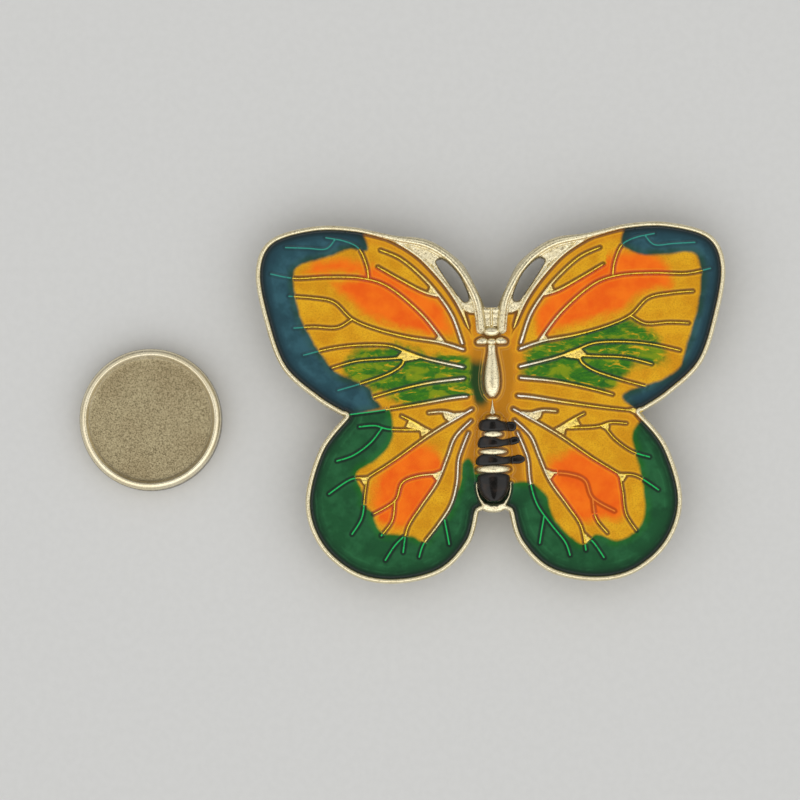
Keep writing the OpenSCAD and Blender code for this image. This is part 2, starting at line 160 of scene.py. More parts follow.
# The amber pool round the body
POOL = [
    [0, 9.6], [1.8, 8.4], [2.5, 6.4], [2.7, 3.5], [2.2, 1], [2.1, -0.5],
    [2.9, -3], [3.4, -5.6], [3.3, -8], [2.6, -10.3], [1.4, -10.6], [0, -10.6],
]
# Line between the two wings
WAIST = [[17.5, -0.5], [15.4, 0.1], [12, 0.5], [8, 1.1], [4.5, 1.7], [0, 2.2]]

# Colour zones of each side. A border's line is its inner limit.
ZONES = {
    1: {
        "fore_border": [
            [14.8, 21], [13.9, 18.2], [14.8, 17.2], [16.6, 16.7], [19, 16.7], [21.4, 16.9], [22.3, 15.4],
            [22, 11.5], [20.5, 6.4], [19.8, 4.6], [17.7, 3.3], [14.4, 2.3], [14, 1.2], [17, -1],
        ],
        "hind_border": [
            [16.5, 0], [14.9, -2], [15, -4], [15.6, -6.5], [16, -10], [15.4, -12.2], [13.2, -13.6],
            [10.8, -12.9], [9.4, -13.9], [8.1, -13.1], [6.5, -11.3], [5.9, -9.9], [5.6, -8.7],
            [3.9, -7.3], [1.5, -7.3],
        ],
        "fore_orange": [
            [[4.9, 8.1], [7.5, 8.8], [10.5, 9.6], [13.2, 10.3], [15.2, 11.8], [17.2, 12.9], [19.3, 13],
             [19.2, 15.4], [17.6, 16.9], [14.3, 17.5], [11.9, 16.6], [7, 13.7], [4.9, 11.6], [4.6, 9.4]],
        ],
        "fore_green": [
            [[3.6, 6.9], [8, 8.6], [13.5, 10.3], [17.2, 8.8], [18.8, 6.6], [18.6, 4.9], [15, 4.4],
             [13, 2.2], [9, 2.2], [3.6, 3.4]],
        ],
        "hind_orange": [
            [[5.6, -5.6], [6.9, -4.2], [9.5, -3.8], [11.4, -4.7], [13.6, -5.9], [14.7, -7.6],
             [14.5, -10.2], [13.2, -11.7], [11.6, -11.5], [10.2, -12], [8, -11.2], [5.9, -8.4]],
        ],
        "pool_green": [],
    },
    -1: {
        "fore_border": [
            [14.2, 21], [13.5, 19.4], [13, 18.1], [13.3, 17.5], [15, 17.7], [17, 17], [19, 16.5],
            [20.4, 16], [20.9, 15], [20.7, 12.4], [20.1, 10.2], [19.1, 8.2], [17.9, 6.4], [16.8, 4.9],
            [15, 3.9], [13.2, 3.1], [12.6, 1.9], [11.8, 0.8], [14, 0.2], [17, -1],
        ],
        "hind_border": [
            [10.8, 0.7], [10.6, -0.7], [10.6, -2.1], [11.2, -3.6], [12.6, -4.9], [14.4, -6],
            [14.3, -7.1], [13.8, -8.2], [13.6, -9.6], [12.8, -10.4], [12.5, -11.6], [11.6, -12.5],
            [10, -12.7], [8.6, -12.9], [7.4, -13.4], [6.2, -12], [4.8, -10.2], [4, -8.3], [3.5, -6.8],
            [3.3, -5.2], [2.6, -4.7], [2.1, -5.4], [1.9, -6.3],
        ],
        "fore_orange": [
            [[19.8, 15], [19, 16.3], [16.6, 16.9], [13.9, 16.5], [13.5, 15.1]],
            [[16.9, 14.2], [14.8, 14.9], [12.6, 16.2], [11.4, 15.9], [9.2, 14.5], [5.6, 12.6], [4.2, 10],
             [4, 8.4], [6.5, 8.3], [9.8, 9], [12.6, 10.1], [15, 12]],
        ],
        "fore_green": [
            [[15.2, 6.9], [12.2, 7.8], [9.2, 7.6], [6.8, 6.7], [1.6, 6.1], [1, 1.2], [6.5, 0.6],
             [9.8, 0.8], [12.2, 2.2], [15.6, 4]],
        ],
        "hind_orange": [
            [[8.4, -2.9], [5.8, -3.6], [4.9, -5.8], [5.4, -7.8], [6.8, -10], [8.9, -12], [11.4, -12.1],
             [12.9, -10.6], [13, -8], [12, -5.7], [10, -3.9]],
        ],
        "pool_green": [[[0.3, 5], [1.4, 5.7], [3.8, 5.6], [4, 2.2], [2.4, 1], [0.5, 1.2]]],
    },
}

# The body's parts. An ellipse is its middle and half its width and height.
HEAD = [0, 8.75, 0.95, 0.56]
KNOB = [0, 7.65, 0.6, 0.42]
LEAF = [[0.3, 7.8], [0.75, 8.15], [1.3, 8.1], [1.7, 7.8], [1.6, 7.42], [1.1, 7.35], [0.6, 7.4]]
# Places along the body and the radius there
THORAX = [
    [7.6, 0.34], [7.2, 0.42], [6.6, 0.45], [5.9, 0.58], [5, 0.74], [4.2, 0.85], [3.5, 0.88],
    [2.8, 0.82], [2.2, 0.62], [1.8, 0.3],
]
ABDOMEN = [
    [-0.1, 0.6], [-0.6, 1.2], [-1.6, 1.5], [-3, 1.65], [-4.6, 1.75], [-6.2, 1.75], [-7.8, 1.6],
    [-8.7, 1.2], [-9.3, 0.6],
]
WAIST_DROP = [
    [0, 1.6], [0.14, 0.9], [0.26, 0.35], [0.31, 0.02],
    [0, -0.18], [-0.31, 0.02], [-0.26, 0.35], [-0.14, 0.9],
]
RIBS = [[0, -0.48, 0.66, 0.24], [0, -2.2, 1.02, 0.38], [0, -4.06, 1.46, 0.37], [0, -5.92, 1.84, 0.46]]
TIP_RIM = [[1.8, -7.4], [1.76, -8.2], [1.5, -9], [1.05, -9.6], [0.5, -9.9], [0, -9.98]]
BANDS = [
    [[-1.1, -0.65], [-1.5, -1], [-1.5, -1.55], [-1.1, -1.85], [0.2, -1.9], [1.4, -1.85], [2.2, -1.9],
     [2.55, -1.5], [2.45, -0.95], [2.0, -0.8], [1.2, -0.85], [0.2, -0.6]],
    [[-1.2, -2.45], [-1.6, -2.9], [-1.65, -3.4], [-1.4, -3.65], [-0.5, -3.6], [0.6, -3.55], [1.5, -3.4],
     [2.3, -3.3], [2.85, -3.05], [2.75, -2.55], [2.3, -2.4], [1.6, -2.65], [0.9, -2.75], [-0.1, -2.5]],
    [[-1.2, -4.35], [-1.75, -4.7], [-1.9, -5.2], [-1.6, -5.5], [-0.6, -5.5], [0.6, -5.45], [1.8, -5.35],
     [2.8, -5.35], [3.35, -5.1], [3.35, -4.65], [2.8, -4.35], [2.0, -4.5], [1.0, -4.6], [-0.2, -4.35]],
]
BLACK_TIP = [
    [-1.65, -6.6], [-1.72, -7.4], [-1.6, -8.2], [-1.2, -8.9], [-0.6, -9.4], [0, -9.5], [0.6, -9.4],
    [1.2, -8.9], [1.6, -8.2], [1.72, -7.4], [1.65, -6.6], [0.8, -6.35], [0, -6.3], [-0.8, -6.35],
]

# ---------------------------------------------------------------------------------------------
# Lines and areas, as arrays of points


def ring(loop):
    """A closed loop's points, with the first one again at the end."""
    return np.concatenate([loop, loop[:1]])


def evenly(line, step, closed=False):
    """A line of points laid out again at even spaces of about step."""
    line = ring(line) if closed else line
    along = np.concatenate([[0], np.cumsum(np.linalg.norm(np.diff(line, axis=0), axis=1))])
    count = max(2, round(along[-1] / step))
    at = np.linspace(0, along[-1], count + 1)
    out = np.stack([np.interp(at, along, line[:, i]) for i in range(line.shape[1])], axis=1)
    return out[:-1] if closed else out


def smooth(points, step=0.2, closed=False):
    """Points about step apart on the smooth curve through a list of points."""
    p = np.array(points, float)
    n = len(p)
    places = np.arange(-1, n + 2)
    around = p[places % n] if closed else p[np.clip(places, 0, n - 1)]
    t = np.linspace(0, 1, 16, endpoint=False)[:, None]
    parts = []
    for i in range(n if closed else n - 1):
        a, b, c, d = around[i : i + 4]
        bend = 2 * a - 5 * b + 4 * c - d
        twist = 3 * b - a - 3 * c + d
        parts.append(0.5 * (2 * b + (c - a) * t + bend * t**2 + twist * t**3))
    if not closed:
        parts.append(p[-1:])
    return evenly(np.concatenate(parts), step, closed)


def closed_curve(points, step=0.1):
    """The smooth closed loop through points, laid anticlockwise."""
    loop = smooth(points, step, closed=True)
    x, y = loop.T
    turn = (x * np.roll(y, -1) - y * np.roll(x, -1)).sum()
    return loop if turn > 0 else loop[::-1]


def ellipse(x, y, rx, ry, count=64):
    t = np.linspace(0, 2 * math.pi, count, endpoint=False)
    return np.column_stack([x + rx * np.cos(t), y + ry * np.sin(t)])


def left_normals(line, closed=False):
    """Unit normals to the left of a line's direction."""
    if closed:
        d = np.roll(line, -1, axis=0) - np.roll(line, 1, axis=0)
    else:
        d = np.gradient(line, axis=0)
    d /= np.linalg.norm(d, axis=1)[:, None]
    return np.stack([-d[:, 1], d[:, 0]], axis=1)


def rows(line, offsets, closed=False):
    """Points beside a line, one row for each offset to its left."""
    normals = left_normals(line, closed)
    return np.concatenate([line + normals * o for o in offsets])


def near(p, line, reach=REACH):
    """Each point's distance to a line, up to reach, and how far along it (0 to 1) it comes nearest."""
    far = np.full(len(p), float(reach))
    along = np.zeros(len(p))
    low, high = line.min(0) - reach, line.max(0) + reach
    picked = np.flatnonzero(((p > low) & (p < high)).all(1))
    start, step = line[:-1], np.diff(line, axis=0)
    length = (step**2).sum(1)
    most_pairs = 2_000_000
    for part in np.array_split(picked, 1 + len(picked) * len(start) // most_pairs):
        if len(part) == 0:
            continue
        from_start = p[part][:, None, :] - start
        t = np.clip((from_start * step).sum(2) / length, 0, 1)
        gap = np.linalg.norm(from_start - t[..., None] * step, axis=2)
        best = gap.argmin(1)
        row = np.arange(len(part))
        far[part] = np.minimum(gap[row, best], reach)
        along[part] = (best + t[row, best]) / len(start)
    return far, along


def inside(p, loop):
    """Whether each point is inside a closed loop."""
    x, y = p[:, 0], p[:, 1]
    odd = np.zeros(len(p), bool)
    ax, ay = loop[-1]
    for bx, by in loop:
        if ay != by:
            odd ^= ((ay > y) != (by > y)) & (x < (bx - ax) * (y - ay) / (by - ay) + ax)
        ax, ay = bx, by
    return odd


def depth(p, loop, reach=REACH):
    """How deep each point is inside a closed loop, negative outside, up to reach either way."""
    gap, _ = near(p, ring(loop), reach)
    return np.where(inside(p, loop), gap, -gap)


def step_up(low, high, x):
    """Smooth step from 0 at low to 1 at high."""
    t = np.clip((x - low) / (high - low), 0, 1)
    return t * t * (3 - 2 * t)


def grid(low, high, step):
    """Points of a triangular grid between two corners."""
    ys = np.arange(low[1], high[1], step * math.sqrt(3) / 2)
    lines = []
    for i, y in enumerate(ys):
        x = np.arange(low[0] + (i % 2) * step / 2, high[0], step)
        lines.append(np.stack([x, np.full(len(x), y)], axis=1))
    return np.concatenate(lines)


def grain(p, size, seed=0.0):
    """Smooth noise from -1 to 1 at each point, with lumps of about the given size."""
    return np.array([noise.noise((x / size, y / size, seed)) for x, y in p])


def triangulate(loops, points, lines=()):
    """Points and triangles over the area inside the first loop and outside the others.

    Triangle edges follow the loops and the open lines.
    """
    given, edges, start = [], [], 0
    for line, closed in [(loop, True) for loop in loops] + [(line, False) for line in lines]:
        n = len(line)
        edges += [(start + i, start + (i + 1) % n) for i in range(n if closed else n - 1)]
        given.append(line)
        start += n
    given = np.concatenate([*given, points])
    flat, _, faces, *_ = delaunay_2d_cdt([Vector(p) for p in given], edges, [], 0, 1e-4)
    flat = np.array([v[:] for v in flat])
    tris = np.array([f for f in faces if len(f) == 3])
    middle = flat[tris].mean(1)
    keep = inside(middle, loops[0])
    for hole in loops[1:]:
        keep &= ~inside(middle, hole)
    tris = tris[keep]
    a, b, c = flat[tris[:, 0]], flat[tris[:, 1]], flat[tris[:, 2]]
    turn = (b[:, 0] - a[:, 0]) * (c[:, 1] - a[:, 1]) - (b[:, 1] - a[:, 1]) * (c[:, 0] - a[:, 0])
    tris[turn < 0] = tris[turn < 0][:, ::-1]
    return flat, tris[abs(turn) > 1e-9]


def rim_edges(tris):
    """The directed edges that only one triangle has."""
    pairs = np.concatenate([tris[:, [0, 1]], tris[:, [1, 2]], tris[:, [2, 0]]])
    wide = int(tris.max()) + 1
    key = pairs[:, 0].astype(np.int64) * wide + pairs[:, 1]
    back = pairs[:, 1].astype(np.int64) * wide + pairs[:, 0]
    return pairs[~np.isin(key, back)]


# ---------------------------------------------------------------------------------------------
# Meshes


def add_object(name, verts, faces, material, slot, body, nodes=(), attributes=()):
    """A smooth mesh object that rides on a body, in place of CAD nodes."""
    mesh = bpy.data.meshes.new(name)
    mesh.from_pydata((np.asarray(verts) * MM).tolist(), [], [list(map(int, f)) for f in faces])
    mesh.polygons.foreach_set("use_smooth", [True] * len(mesh.polygons))
    for label, values in attributes:
        layer = mesh.attributes.new(label, "FLOAT_VECTOR", "POINT")
        layer.data.foreach_set("vector", np.asarray(values, np.float32).ravel())
    mesh.materials.append(material)
    mesh.update()
    obj = bpy.data.objects.new(name, mesh)
    bpy.context.scene.collection.objects.link(obj)
    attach(obj, body)
    if nodes:
        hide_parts(*nodes)
    return obj


def slab(flat, tris, top, bottom):
    """Vertices and faces of a closed solid over triangles: its faces at heights top and bottom."""
    used, tris = np.unique(tris, return_inverse=True)
    tris = tris.reshape(-1, 3)
    flat, top, bottom = flat[used], top[used], bottom[used]
    n = len(flat)
    verts = np.concatenate([np.column_stack([flat, top]), np.column_stack([flat, bottom])])
    walls = [(a + n, b + n, b, a) for a, b in rim_edges(tris)]
    return verts, [*tris, *(tris[:, ::-1] + n), *walls], used


def lathe(profile, segments=144, wobble=None):
    """Vertices and faces of a profile of [radius, height] points turned about Z. Radius 0 closes it."""
    verts, faces, rings = [], [], []
    turns = np.linspace(0, 2 * math.pi, segments, endpoint=False)
    for radius, height in profile:
        if radius == 0:
            rings.append([len(verts)])
            verts.append((0, 0, height))
            continue
        rings.append(list(range(len(verts), len(verts) + segments)))
        for t in turns:
            grow = wobble(t, radius, height) if wobble else 0
            verts.append(((radius + grow) * math.cos(t), (radius + grow) * math.sin(t), height))
    for low, high in zip(rings, rings[1:]):
        for i in range(segments):
            j = (i + 1) % segments
            a, b = low[i % len(low)], low[j % len(low)]
            c, d = high[j % len(high)], high[i % len(high)]
            faces.append(tuple(dict.fromkeys((a, b, c, d))))
    return verts, [f for f in faces if len(f) > 2]


# ---------------------------------------------------------------------------------------------
# Materials


class Shader:
    """A node material under construction."""

    def __init__(self, name, **constants):
        self.material = bpy.data.materials.new(name)
        self.material.use_nodes = True
        self.nodes = self.material.node_tree.nodes
        self.links = self.material.node_tree.links
        self.surface = self.nodes["Principled BSDF"]
        for label, value in constants.items():
            label = label.replace("_", " ").title().replace("Ior", "IOR")
            self.surface.inputs[label].default_value = value

    def put(self, socket, value):
        """Links a node's output into a socket, or sets the socket's value."""
        if isinstance(value, bpy.types.NodeSocket):
            self.links.new(value, socket)
        elif value is not None:
            is_color = isinstance(value, tuple)
            socket.default_value = (*value, 1) if is_color else value

    def place(self):
        return self.nodes.new("ShaderNodeTexCoord").outputs["Object"]

    def stretched(self, vector, scale):
        node = self.nodes.new("ShaderNodeMapping")
        self.put(node.inputs["Vector"], vector)
        node.inputs["Scale"].default_value = scale
        return node.outputs["Vector"]

    def noise(self, size, detail=2.0, rough=0.5, vector=None, warp=0.0):
        """Noise from 0 to 1 with lumps of about size millimetres."""
        node = self.nodes.new("ShaderNodeTexNoise")
        self.put(node.inputs["Vector"], vector or self.place())
        settings = {"Scale": 1 / (size * MM), "Detail": detail, "Roughness": rough, "Distortion": warp}
        for label, value in settings.items():
            node.inputs[label].default_value = value
        return node.outputs["Fac"]

    def attribute(self, name):
        """The X, Y and Z outputs of a mesh attribute."""
        node = self.nodes.new("ShaderNodeAttribute")
        node.attribute_name = name
        split = self.nodes.new("ShaderNodeSeparateXYZ")
        self.put(split.inputs[0], node.outputs["Vector"])
        return split.outputs

    def math(self, operation, a, b=None, c=None):
        node = self.nodes.new("ShaderNodeMath")
        node.operation = operation
        for socket, value in zip(node.inputs, (a, b, c)):
            self.put(socket, value)
        return node.outputs[0]

    def times(self, a, b):
        return self.math("MULTIPLY", a, b)

    def times_plus(self, a, b, c):
        """a times b, plus c."""
        return self.math("MULTIPLY_ADD", a, b, c)

    def rest_of(self, a):
        """What a leaves of 1."""
        return self.math("SUBTRACT", 1.0, a)

    def remap(self, value, low, high, to_low=0.0, to_high=1.0):
        """value's place between low and high, laid out smoothly between to_low and to_high."""
        node = self.nodes.new("ShaderNodeMapRange")
        node.interpolation_type = "SMOOTHSTEP"
        for socket, v in zip(node.inputs, (value, low, high, to_low, to_high)):
            self.put(socket, v)
        return node.outputs["Result"]

    def mix(self, factor, a, b):
        """Colour a turned into colour b by factor."""
        node = self.nodes.new("ShaderNodeMix")
        node.data_type = "RGBA"
        factor_in, a_in, b_in = (node.inputs[i] for i in (0, 6, 7))
        self.put(factor_in, factor)
        self.put(a_in, a)
        self.put(b_in, b)
        return node.outputs[2]

    def bump(self, height, strength, distance):
        """A bump normal; distance is the height's full size in millimetres."""
        node = self.nodes.new("ShaderNodeBump")
        self.put(node.inputs["Strength"], strength)
        node.inputs["Distance"].default_value = distance * MM
        self.put(node.inputs["Height"], height)
        return node.outputs["Normal"]

    def finish(self, color, roughness, normal=None):
        self.put(self.surface.inputs["Base Color"], color)
        self.put(self.surface.inputs["Roughness"], roughness)
        self.put(self.surface.inputs["Normal"], normal)
        return self.material


WHITE_GOLD = (1.0, 0.96, 0.85)
CREAM_GOLD = (0.90, 0.81, 0.55)
YELLOW_GOLD = (1.0, 0.72, 0.07)
DULL_GOLD = (0.62, 0.46, 0.2)
DARK_GOLD = (0.14, 0.09, 0.035)
SHELL_GOLD = (0.90, 0.79, 0.54)
SHELL_LIGHT = (0.97, 0.88, 0.65)
SHELL_WALL_SHADE = (0.45, 0.35, 0.2)
TRAY_GOLD = (0.37, 0.30, 0.17)
TRAY_LIGHT = (0.43, 0.36, 0.21)
TRAY_PIT = (0.11, 0.085, 0.045)
TRAY_SPARK = (0.72, 0.62, 0.42)


def casting_gold():
    """Pale gold plate on a casting: bright, finely pitted, yellower out on the veins.

    The attribute "metal" holds how yellow, how rough-cast and how darkened by painted shade each place is.
    """
    s = Shader("casting_gold", metallic=1.0)
    yellow, rough, dark = s.attribute("metal")
    lumps = s.noise(0.9, 3)
    speckle = s.noise(0.17, 3, 0.65)
    color = s.mix(s.remap(yellow, 0.0, -1.0), s.mix(yellow, CREAM_GOLD, YELLOW_GOLD), WHITE_GOLD)
    color = s.mix(s.remap(lumps, 0.4, 0.75, 0, 0.25), color, DULL_GOLD)
    pits = s.remap(speckle, 0.52, 0.62)
    pit_share = s.times(pits, s.times_plus(rough, 0.45, 0.25))
    color = s.mix(pit_share, color, DARK_GOLD)
    # Painted shade: the third value of "metal" darkens the slot's edge, the antenna's outer slope and the
    # rear face
    color = s.mix(dark, color, DARK_GOLD)
    roughness = s.times_plus(rough, 0.28, s.remap(lumps, 0.3, 0.7, 0.12, 0.2))
    bump = s.bump(speckle, s.times_plus(rough, 0.7, 0.18), 0.05)
    return s.finish(color, roughness, bump)


def shell_gold():
    """Gold-plated steel shell; "metal" marks the sandy tray floor and the lower outer wall, darkened with
    painted shade.
    """
    s = Shader("shell_gold", metallic=1.0)
    sandy, wall_shade, _ = s.attribute("metal")
    cloud = s.noise(3.5, 3)
    sand = s.noise(0.15, 4, 0.8)
    scuff = s.noise(0.5, 4, 0.65, s.stretched(s.place(), (1, 0.2, 1)))
    color = s.mix(s.remap(cloud, 0.3, 0.7), SHELL_GOLD, SHELL_LIGHT)
    color = s.mix(sandy, color, s.mix(s.remap(cloud, 0.3, 0.7), TRAY_GOLD, TRAY_LIGHT))
    color = s.mix(s.times(s.remap(sand, 0.5, 0.57), s.times_plus(sandy, 0.6, 0.1)), color, TRAY_PIT)
    color = s.mix(s.times(s.remap(sand, 0.44, 0.34), s.times(sandy, 0.5)), color, TRAY_SPARK)
    # Painted shade darkens the lower outer wall
    color = s.mix(wall_shade, color, SHELL_WALL_SHADE)
    roughness = s.times_plus(sandy, 0.2, s.remap(scuff, 0.35, 0.7, 0.17, 0.27))
    return s.finish(color, roughness, s.bump(sand, s.times_plus(sandy, 0.75, 0.1), 0.06))


AMBER = (0.66, 0.29, 0.006)
AMBER_LIGHT = (0.80, 0.42, 0.012)
AMBER_SAND = (0.40, 0.17, 0.004)
AMBER_SHADE = (0.62, 0.20, 0.010)
ORANGE = (0.93, 0.18, 0.006)
ORANGE_DEEP = (0.84, 0.112, 0.004)
GREEN = (0.018, 0.12, 0.012)
GREEN_LIGHT = (0.05, 0.2, 0.008)
YELLOW_GREEN = (0.26, 0.32, 0.006)
TEAL = (0.022, 0.075, 0.095)
TEAL_EDGE = (0.020, 0.065, 0.035)
TEAL_DEEP = (0.010, 0.026, 0.042)
SUNK_TEAL = (0.04, 0.31, 0.24)
DARK_GREEN = (0.012, 0.085, 0.028)
GREEN_EDGE = (0.012, 0.13, 0.012)
DARK_GREEN_DEEP = (0.006, 0.030, 0.014)
SUNK_GREEN = (0.02, 0.58, 0.13)
SUNK_ORANGE = (0.86, 0.25, 0.03)
BLACK_GREEN = (0.008, 0.014, 0.012)
POOL_AMBER = (0.48, 0.19, 0.007)
POOL_GREEN = (0.018, 0.052, 0.010)
POOL_RING_HIGHLIGHT = (0.60, 0.36, 0.12)
BROWN = (0.16, 0.065, 0.003)
RIM_BROWN = (0.20, 0.07, 0.006)
RED_BROWN = (0.42, 0.055, 0.002)
GREEN_SHADE = (0.010, 0.035, 0.008)
MENISCUS_HIGHLIGHT = (0.80, 0.42, 0.015)
BLACK = (0.008, 0.007, 0.006)
BLACK_BROWN = (0.035, 0.02, 0.012)
NICKEL = (0.62, 0.60, 0.56)
NICKEL_LIGHT = (0.72, 0.71, 0.69)
GLUE = (0.72, 0.62, 0.38)
GLUE_LIGHT = (0.9, 0.84, 0.66)
FLOOR_GREY = (0.615, 0.615, 0.60)
FLOOR_LIGHT = (0.63, 0.63, 0.615)
# A floor this close behind a face that rests on it doesn't hide the face, in metres
CONTACT_GAP = 0.003


def enamel(name, border, border_edge, border_deep, sunk_color, vein_shadow_and_band_strength=0.85, pool=False):
    """Translucent enamel over a sandy gold floor, in colours that run into each other.

    The attribute "zones" holds each place's depth in the orange, green and border zones, "lines" its
    distance from bare metal, from a sunken vein and from the rim, and "pool" its depth in the pool
    round the body and in the pool's green smear, all in millimetres.
    """
    s = Shader(name, specular_ior_level=0.12, coat_weight=0.6, coat_roughness=0.03, coat_ior=1.42)
    border_highlight = tuple(min(1.0, 2.2 * v + 0.01) for v in border)
    orange, green, dark = s.attribute("zones")
    metal, sunk, rim = s.attribute("lines")
    place = s.place()
    run = s.noise(1.6, 4, 0.6, place, 0.4)
    wander = s.times_plus(run, 1.6, -0.8)
    sand = s.noise(0.17, 3, 0.75, place)
    cloud = s.noise(2.6, 3, 0.6, place)
    streak = s.noise(0.7, 5, 0.72, s.stretched(place, (0.3, 1, 1)), 0.8)
    blot = s.noise(1.3, 3, 0.6, s.stretched(place, (0.5, 1, 1)), 0.6)

    color = s.mix(s.remap(cloud, 0.35, 0.7), AMBER, AMBER_LIGHT)
    color = s.mix(s.remap(sand, 0.42, 0.7, 0.0, 0.55), color, AMBER_SAND)
    # Painted shade: darker amber within 1.5 mm of the rim and towards the pool round the body
    color = s.mix(s.remap(rim, 0.2, 1.5, 0.5, 0.0), color, AMBER_SHADE)
    deepness, smear, _ = s.attribute("pool")
    color = s.mix(s.remap(deepness, -1.8, 0.0, 0.0, 0.5), color, AMBER_SHADE)
    fire = s.mix(s.remap(cloud, 0.3, 0.7), ORANGE, ORANGE_DEEP)
    in_orange = s.remap(s.math("ADD", orange, wander), -0.5, 1.1)
    color = s.mix(in_orange, color, fire)
    leaf = s.mix(s.remap(streak, 0.34, 0.58), GREEN, GREEN_LIGHT)
    leaf = s.mix(s.remap(blot, 0.47, 0.6, 0, 0.75), leaf, YELLOW_GREEN)
    leaf = s.mix(s.remap(streak, 0.55, 0.66, 0, 0.8), leaf, AMBER_LIGHT)
    in_green = s.remap(s.math("ADD", green, s.times(wander, 1.5)), -0.3, 0.9)
    color = s.mix(in_green, color, leaf)
    edge_run = s.math("ADD", dark, s.times(wander, 0.25))
    in_border = s.remap(edge_run, -0.2, 0.26)
    deep = s.mix(s.remap(edge_run, 0.05, 1.1), border_edge, border)
    deep = s.mix(s.remap(run, 0.4, 0.75, 0, 0.3), deep, border_deep)
    # Painted shade: the border darkens towards the rim
    deep = s.mix(s.remap(rim, 0.3, 1.8, 0.45, 0.0), deep, border_deep)
    # Painted reflections: light bands that follow the rim
    reflected_bands = s.math("SINE", s.times_plus(rim, 9.0, s.times(run, 6.0)))
    reflected_bands = s.times(s.remap(reflected_bands, 0.3, 1.0), s.remap(rim, 0.5, 2.4, 0.3, 0.0))
    reflected_bands = s.times(reflected_bands, s.remap(cloud, 0.4, 0.6))
    deep = s.mix(s.times(reflected_bands, vein_shadow_and_band_strength), deep, border_highlight)
    # Painted highlight: lighter clouds away from the rim, the other side of its painted shade
    glow = s.times(s.remap(rim, 0.6, 1.3), s.remap(cloud, 0.42, 0.62, 0.0, 0.3))
    deep = s.mix(glow, deep, border_highlight)
    if pool:
        # Painted highlight: light rings round the body's metal, reflected in the pool's enamel
        ring = s.remap(s.math("SINE", s.times(metal, 14.0)), 0.6, 1.0)
        ring = s.times(ring, s.remap(metal, 0.3, 1.2, 0.35, 0.0))
        stained = s.remap(s.math("ADD", smear, s.times(wander, 0.4)), -0.6, 0.8)
        honey = s.mix(ring, s.mix(stained, POOL_AMBER, POOL_GREEN), POOL_RING_HIGHLIGHT)
        color = s.mix(s.remap(deepness, -0.05, 0.7), color, honey)
    color = s.mix(in_border, color, deep)

    # Painted shade: a thin dark line beside the metal; painted highlight: a lighter line where the enamel's
    # slope ends
    shade = s.mix(in_green, s.mix(in_orange, BROWN, RED_BROWN), GREEN_SHADE)
    shade = s.mix(in_border, shade, border_deep)
    meniscus_highlight = s.times(s.remap(metal, 0.22, 0.3), s.remap(metal, 0.32, 0.44, 0.55, 0.0))
    plain = s.times(s.rest_of(in_border), s.rest_of(in_green))
    plain = s.times(plain, s.remap(in_orange, 0.0, 1.0, 1.0, 0.4))
    color = s.mix(s.times(meniscus_highlight, plain), color, MENISCUS_HIGHLIGHT)
    color = s.mix(s.remap(metal, 0.1, 0.28, 0.9, 0.0), color, shade)
    # Painted shade: a dark band along the inside of the rim
    rim_shade = s.remap(rim, 0.0, s.times_plus(in_border, 0.5, 0.35), 0.8, 0.0)
    color = s.mix(rim_shade, color, s.mix(in_border, RIM_BROWN, BLACK_GREEN))
    # Veins below the surface show through it, with a painted shadow round them
    color = s.mix(s.remap(sunk, 0.22, 0.44, vein_shadow_and_band_strength, 0.0), color, s.mix(in_orange, BLACK_GREEN, RED_BROWN))
    color = s.mix(s.remap(sunk, 0.02, 0.11, 0.9, 0.0), color, s.mix(in_orange, sunk_color, SUNK_ORANGE))

    sandy = s.times(s.rest_of(in_border), s.rest_of(in_orange))
    roughness = s.remap(sand, 0.3, 0.7, 0.35, 0.5)
    normal = s.bump(sand, s.times_plus(sandy, 0.55, 0.08), 0.05)
    return s.finish(color, roughness, normal)


def black_enamel():
    s = Shader("black_enamel", specular_ior_level=0.15, coat_weight=0.35, coat_roughness=0.04)
    cloud = s.noise(0.7, 3)
    color = s.mix(s.remap(cloud, 0.45, 0.75, 0, 0.7), BLACK, BLACK_BROWN)
    return s.finish(color, s.remap(cloud, 0.3, 0.7, 0.22, 0.4), s.bump(s.noise(0.25), 0.12, 0.03))


def nickel():
    """Bright nickel plate with faint turning rings and handling marks."""
    s = Shader("nickel_plate", metallic=1.0)
    cloud = s.noise(2.0, 3)
    scratch = s.noise(0.25, 4, 0.7, s.stretched(s.place(), (1, 0.06, 1)))
    color = s.mix(s.remap(cloud, 0.3, 0.7), NICKEL, NICKEL_LIGHT)
    roughness = s.remap(scratch, 0.35, 0.7, 0.14, 0.34)
    return s.finish(color, roughness, s.bump(scratch, 0.12, 0.02))


def clear_glue():
    """Cured epoxy: faintly yellow, with bubbles and a waxy surface."""
    s = Shader("clear_glue", transmission_weight=0.35, ior=1.5)
    bubbles = s.noise(0.22, 3, 0.7)
    color = s.mix(s.remap(bubbles, 0.5, 0.72), GLUE, GLUE_LIGHT)
    return s.finish(color, s.remap(bubbles, 0.3, 0.7, 0.2, 0.45), s.bump(bubbles, 0.4, 0.05))


def table_top():
    """Plain pale floor, clear from below and against resting faces, so the underside can be looked at."""
    s = Shader("pale_floor")
    fine = s.noise(0.8, 3)
    s.finish(s.mix(s.remap(fine, 0.3, 0.7), FLOOR_GREY, FLOOR_LIGHT), 0.65)
    clear = s.nodes.new("ShaderNodeBsdfTransparent")
    side = s.nodes.new("ShaderNodeNewGeometry")
    path = s.nodes.new("ShaderNodeLightPath")
    nearby = s.math("LESS_THAN", path.outputs["Ray Length"], CONTACT_GAP)
    either = s.nodes.new("ShaderNodeMixShader")
    output = s.nodes["Material Output"]
    s.links.new(s.math("MAXIMUM", side.outputs["Backfacing"], nearby), either.inputs[0])
    s.links.new(s.surface.outputs[0], either.inputs[1])
    s.links.new(clear.outputs[0], either.inputs[2])
    s.links.new(either.outputs[0], output.inputs["Surface"])
    return s.material


# ---------------------------------------------------------------------------------------------
# Casting


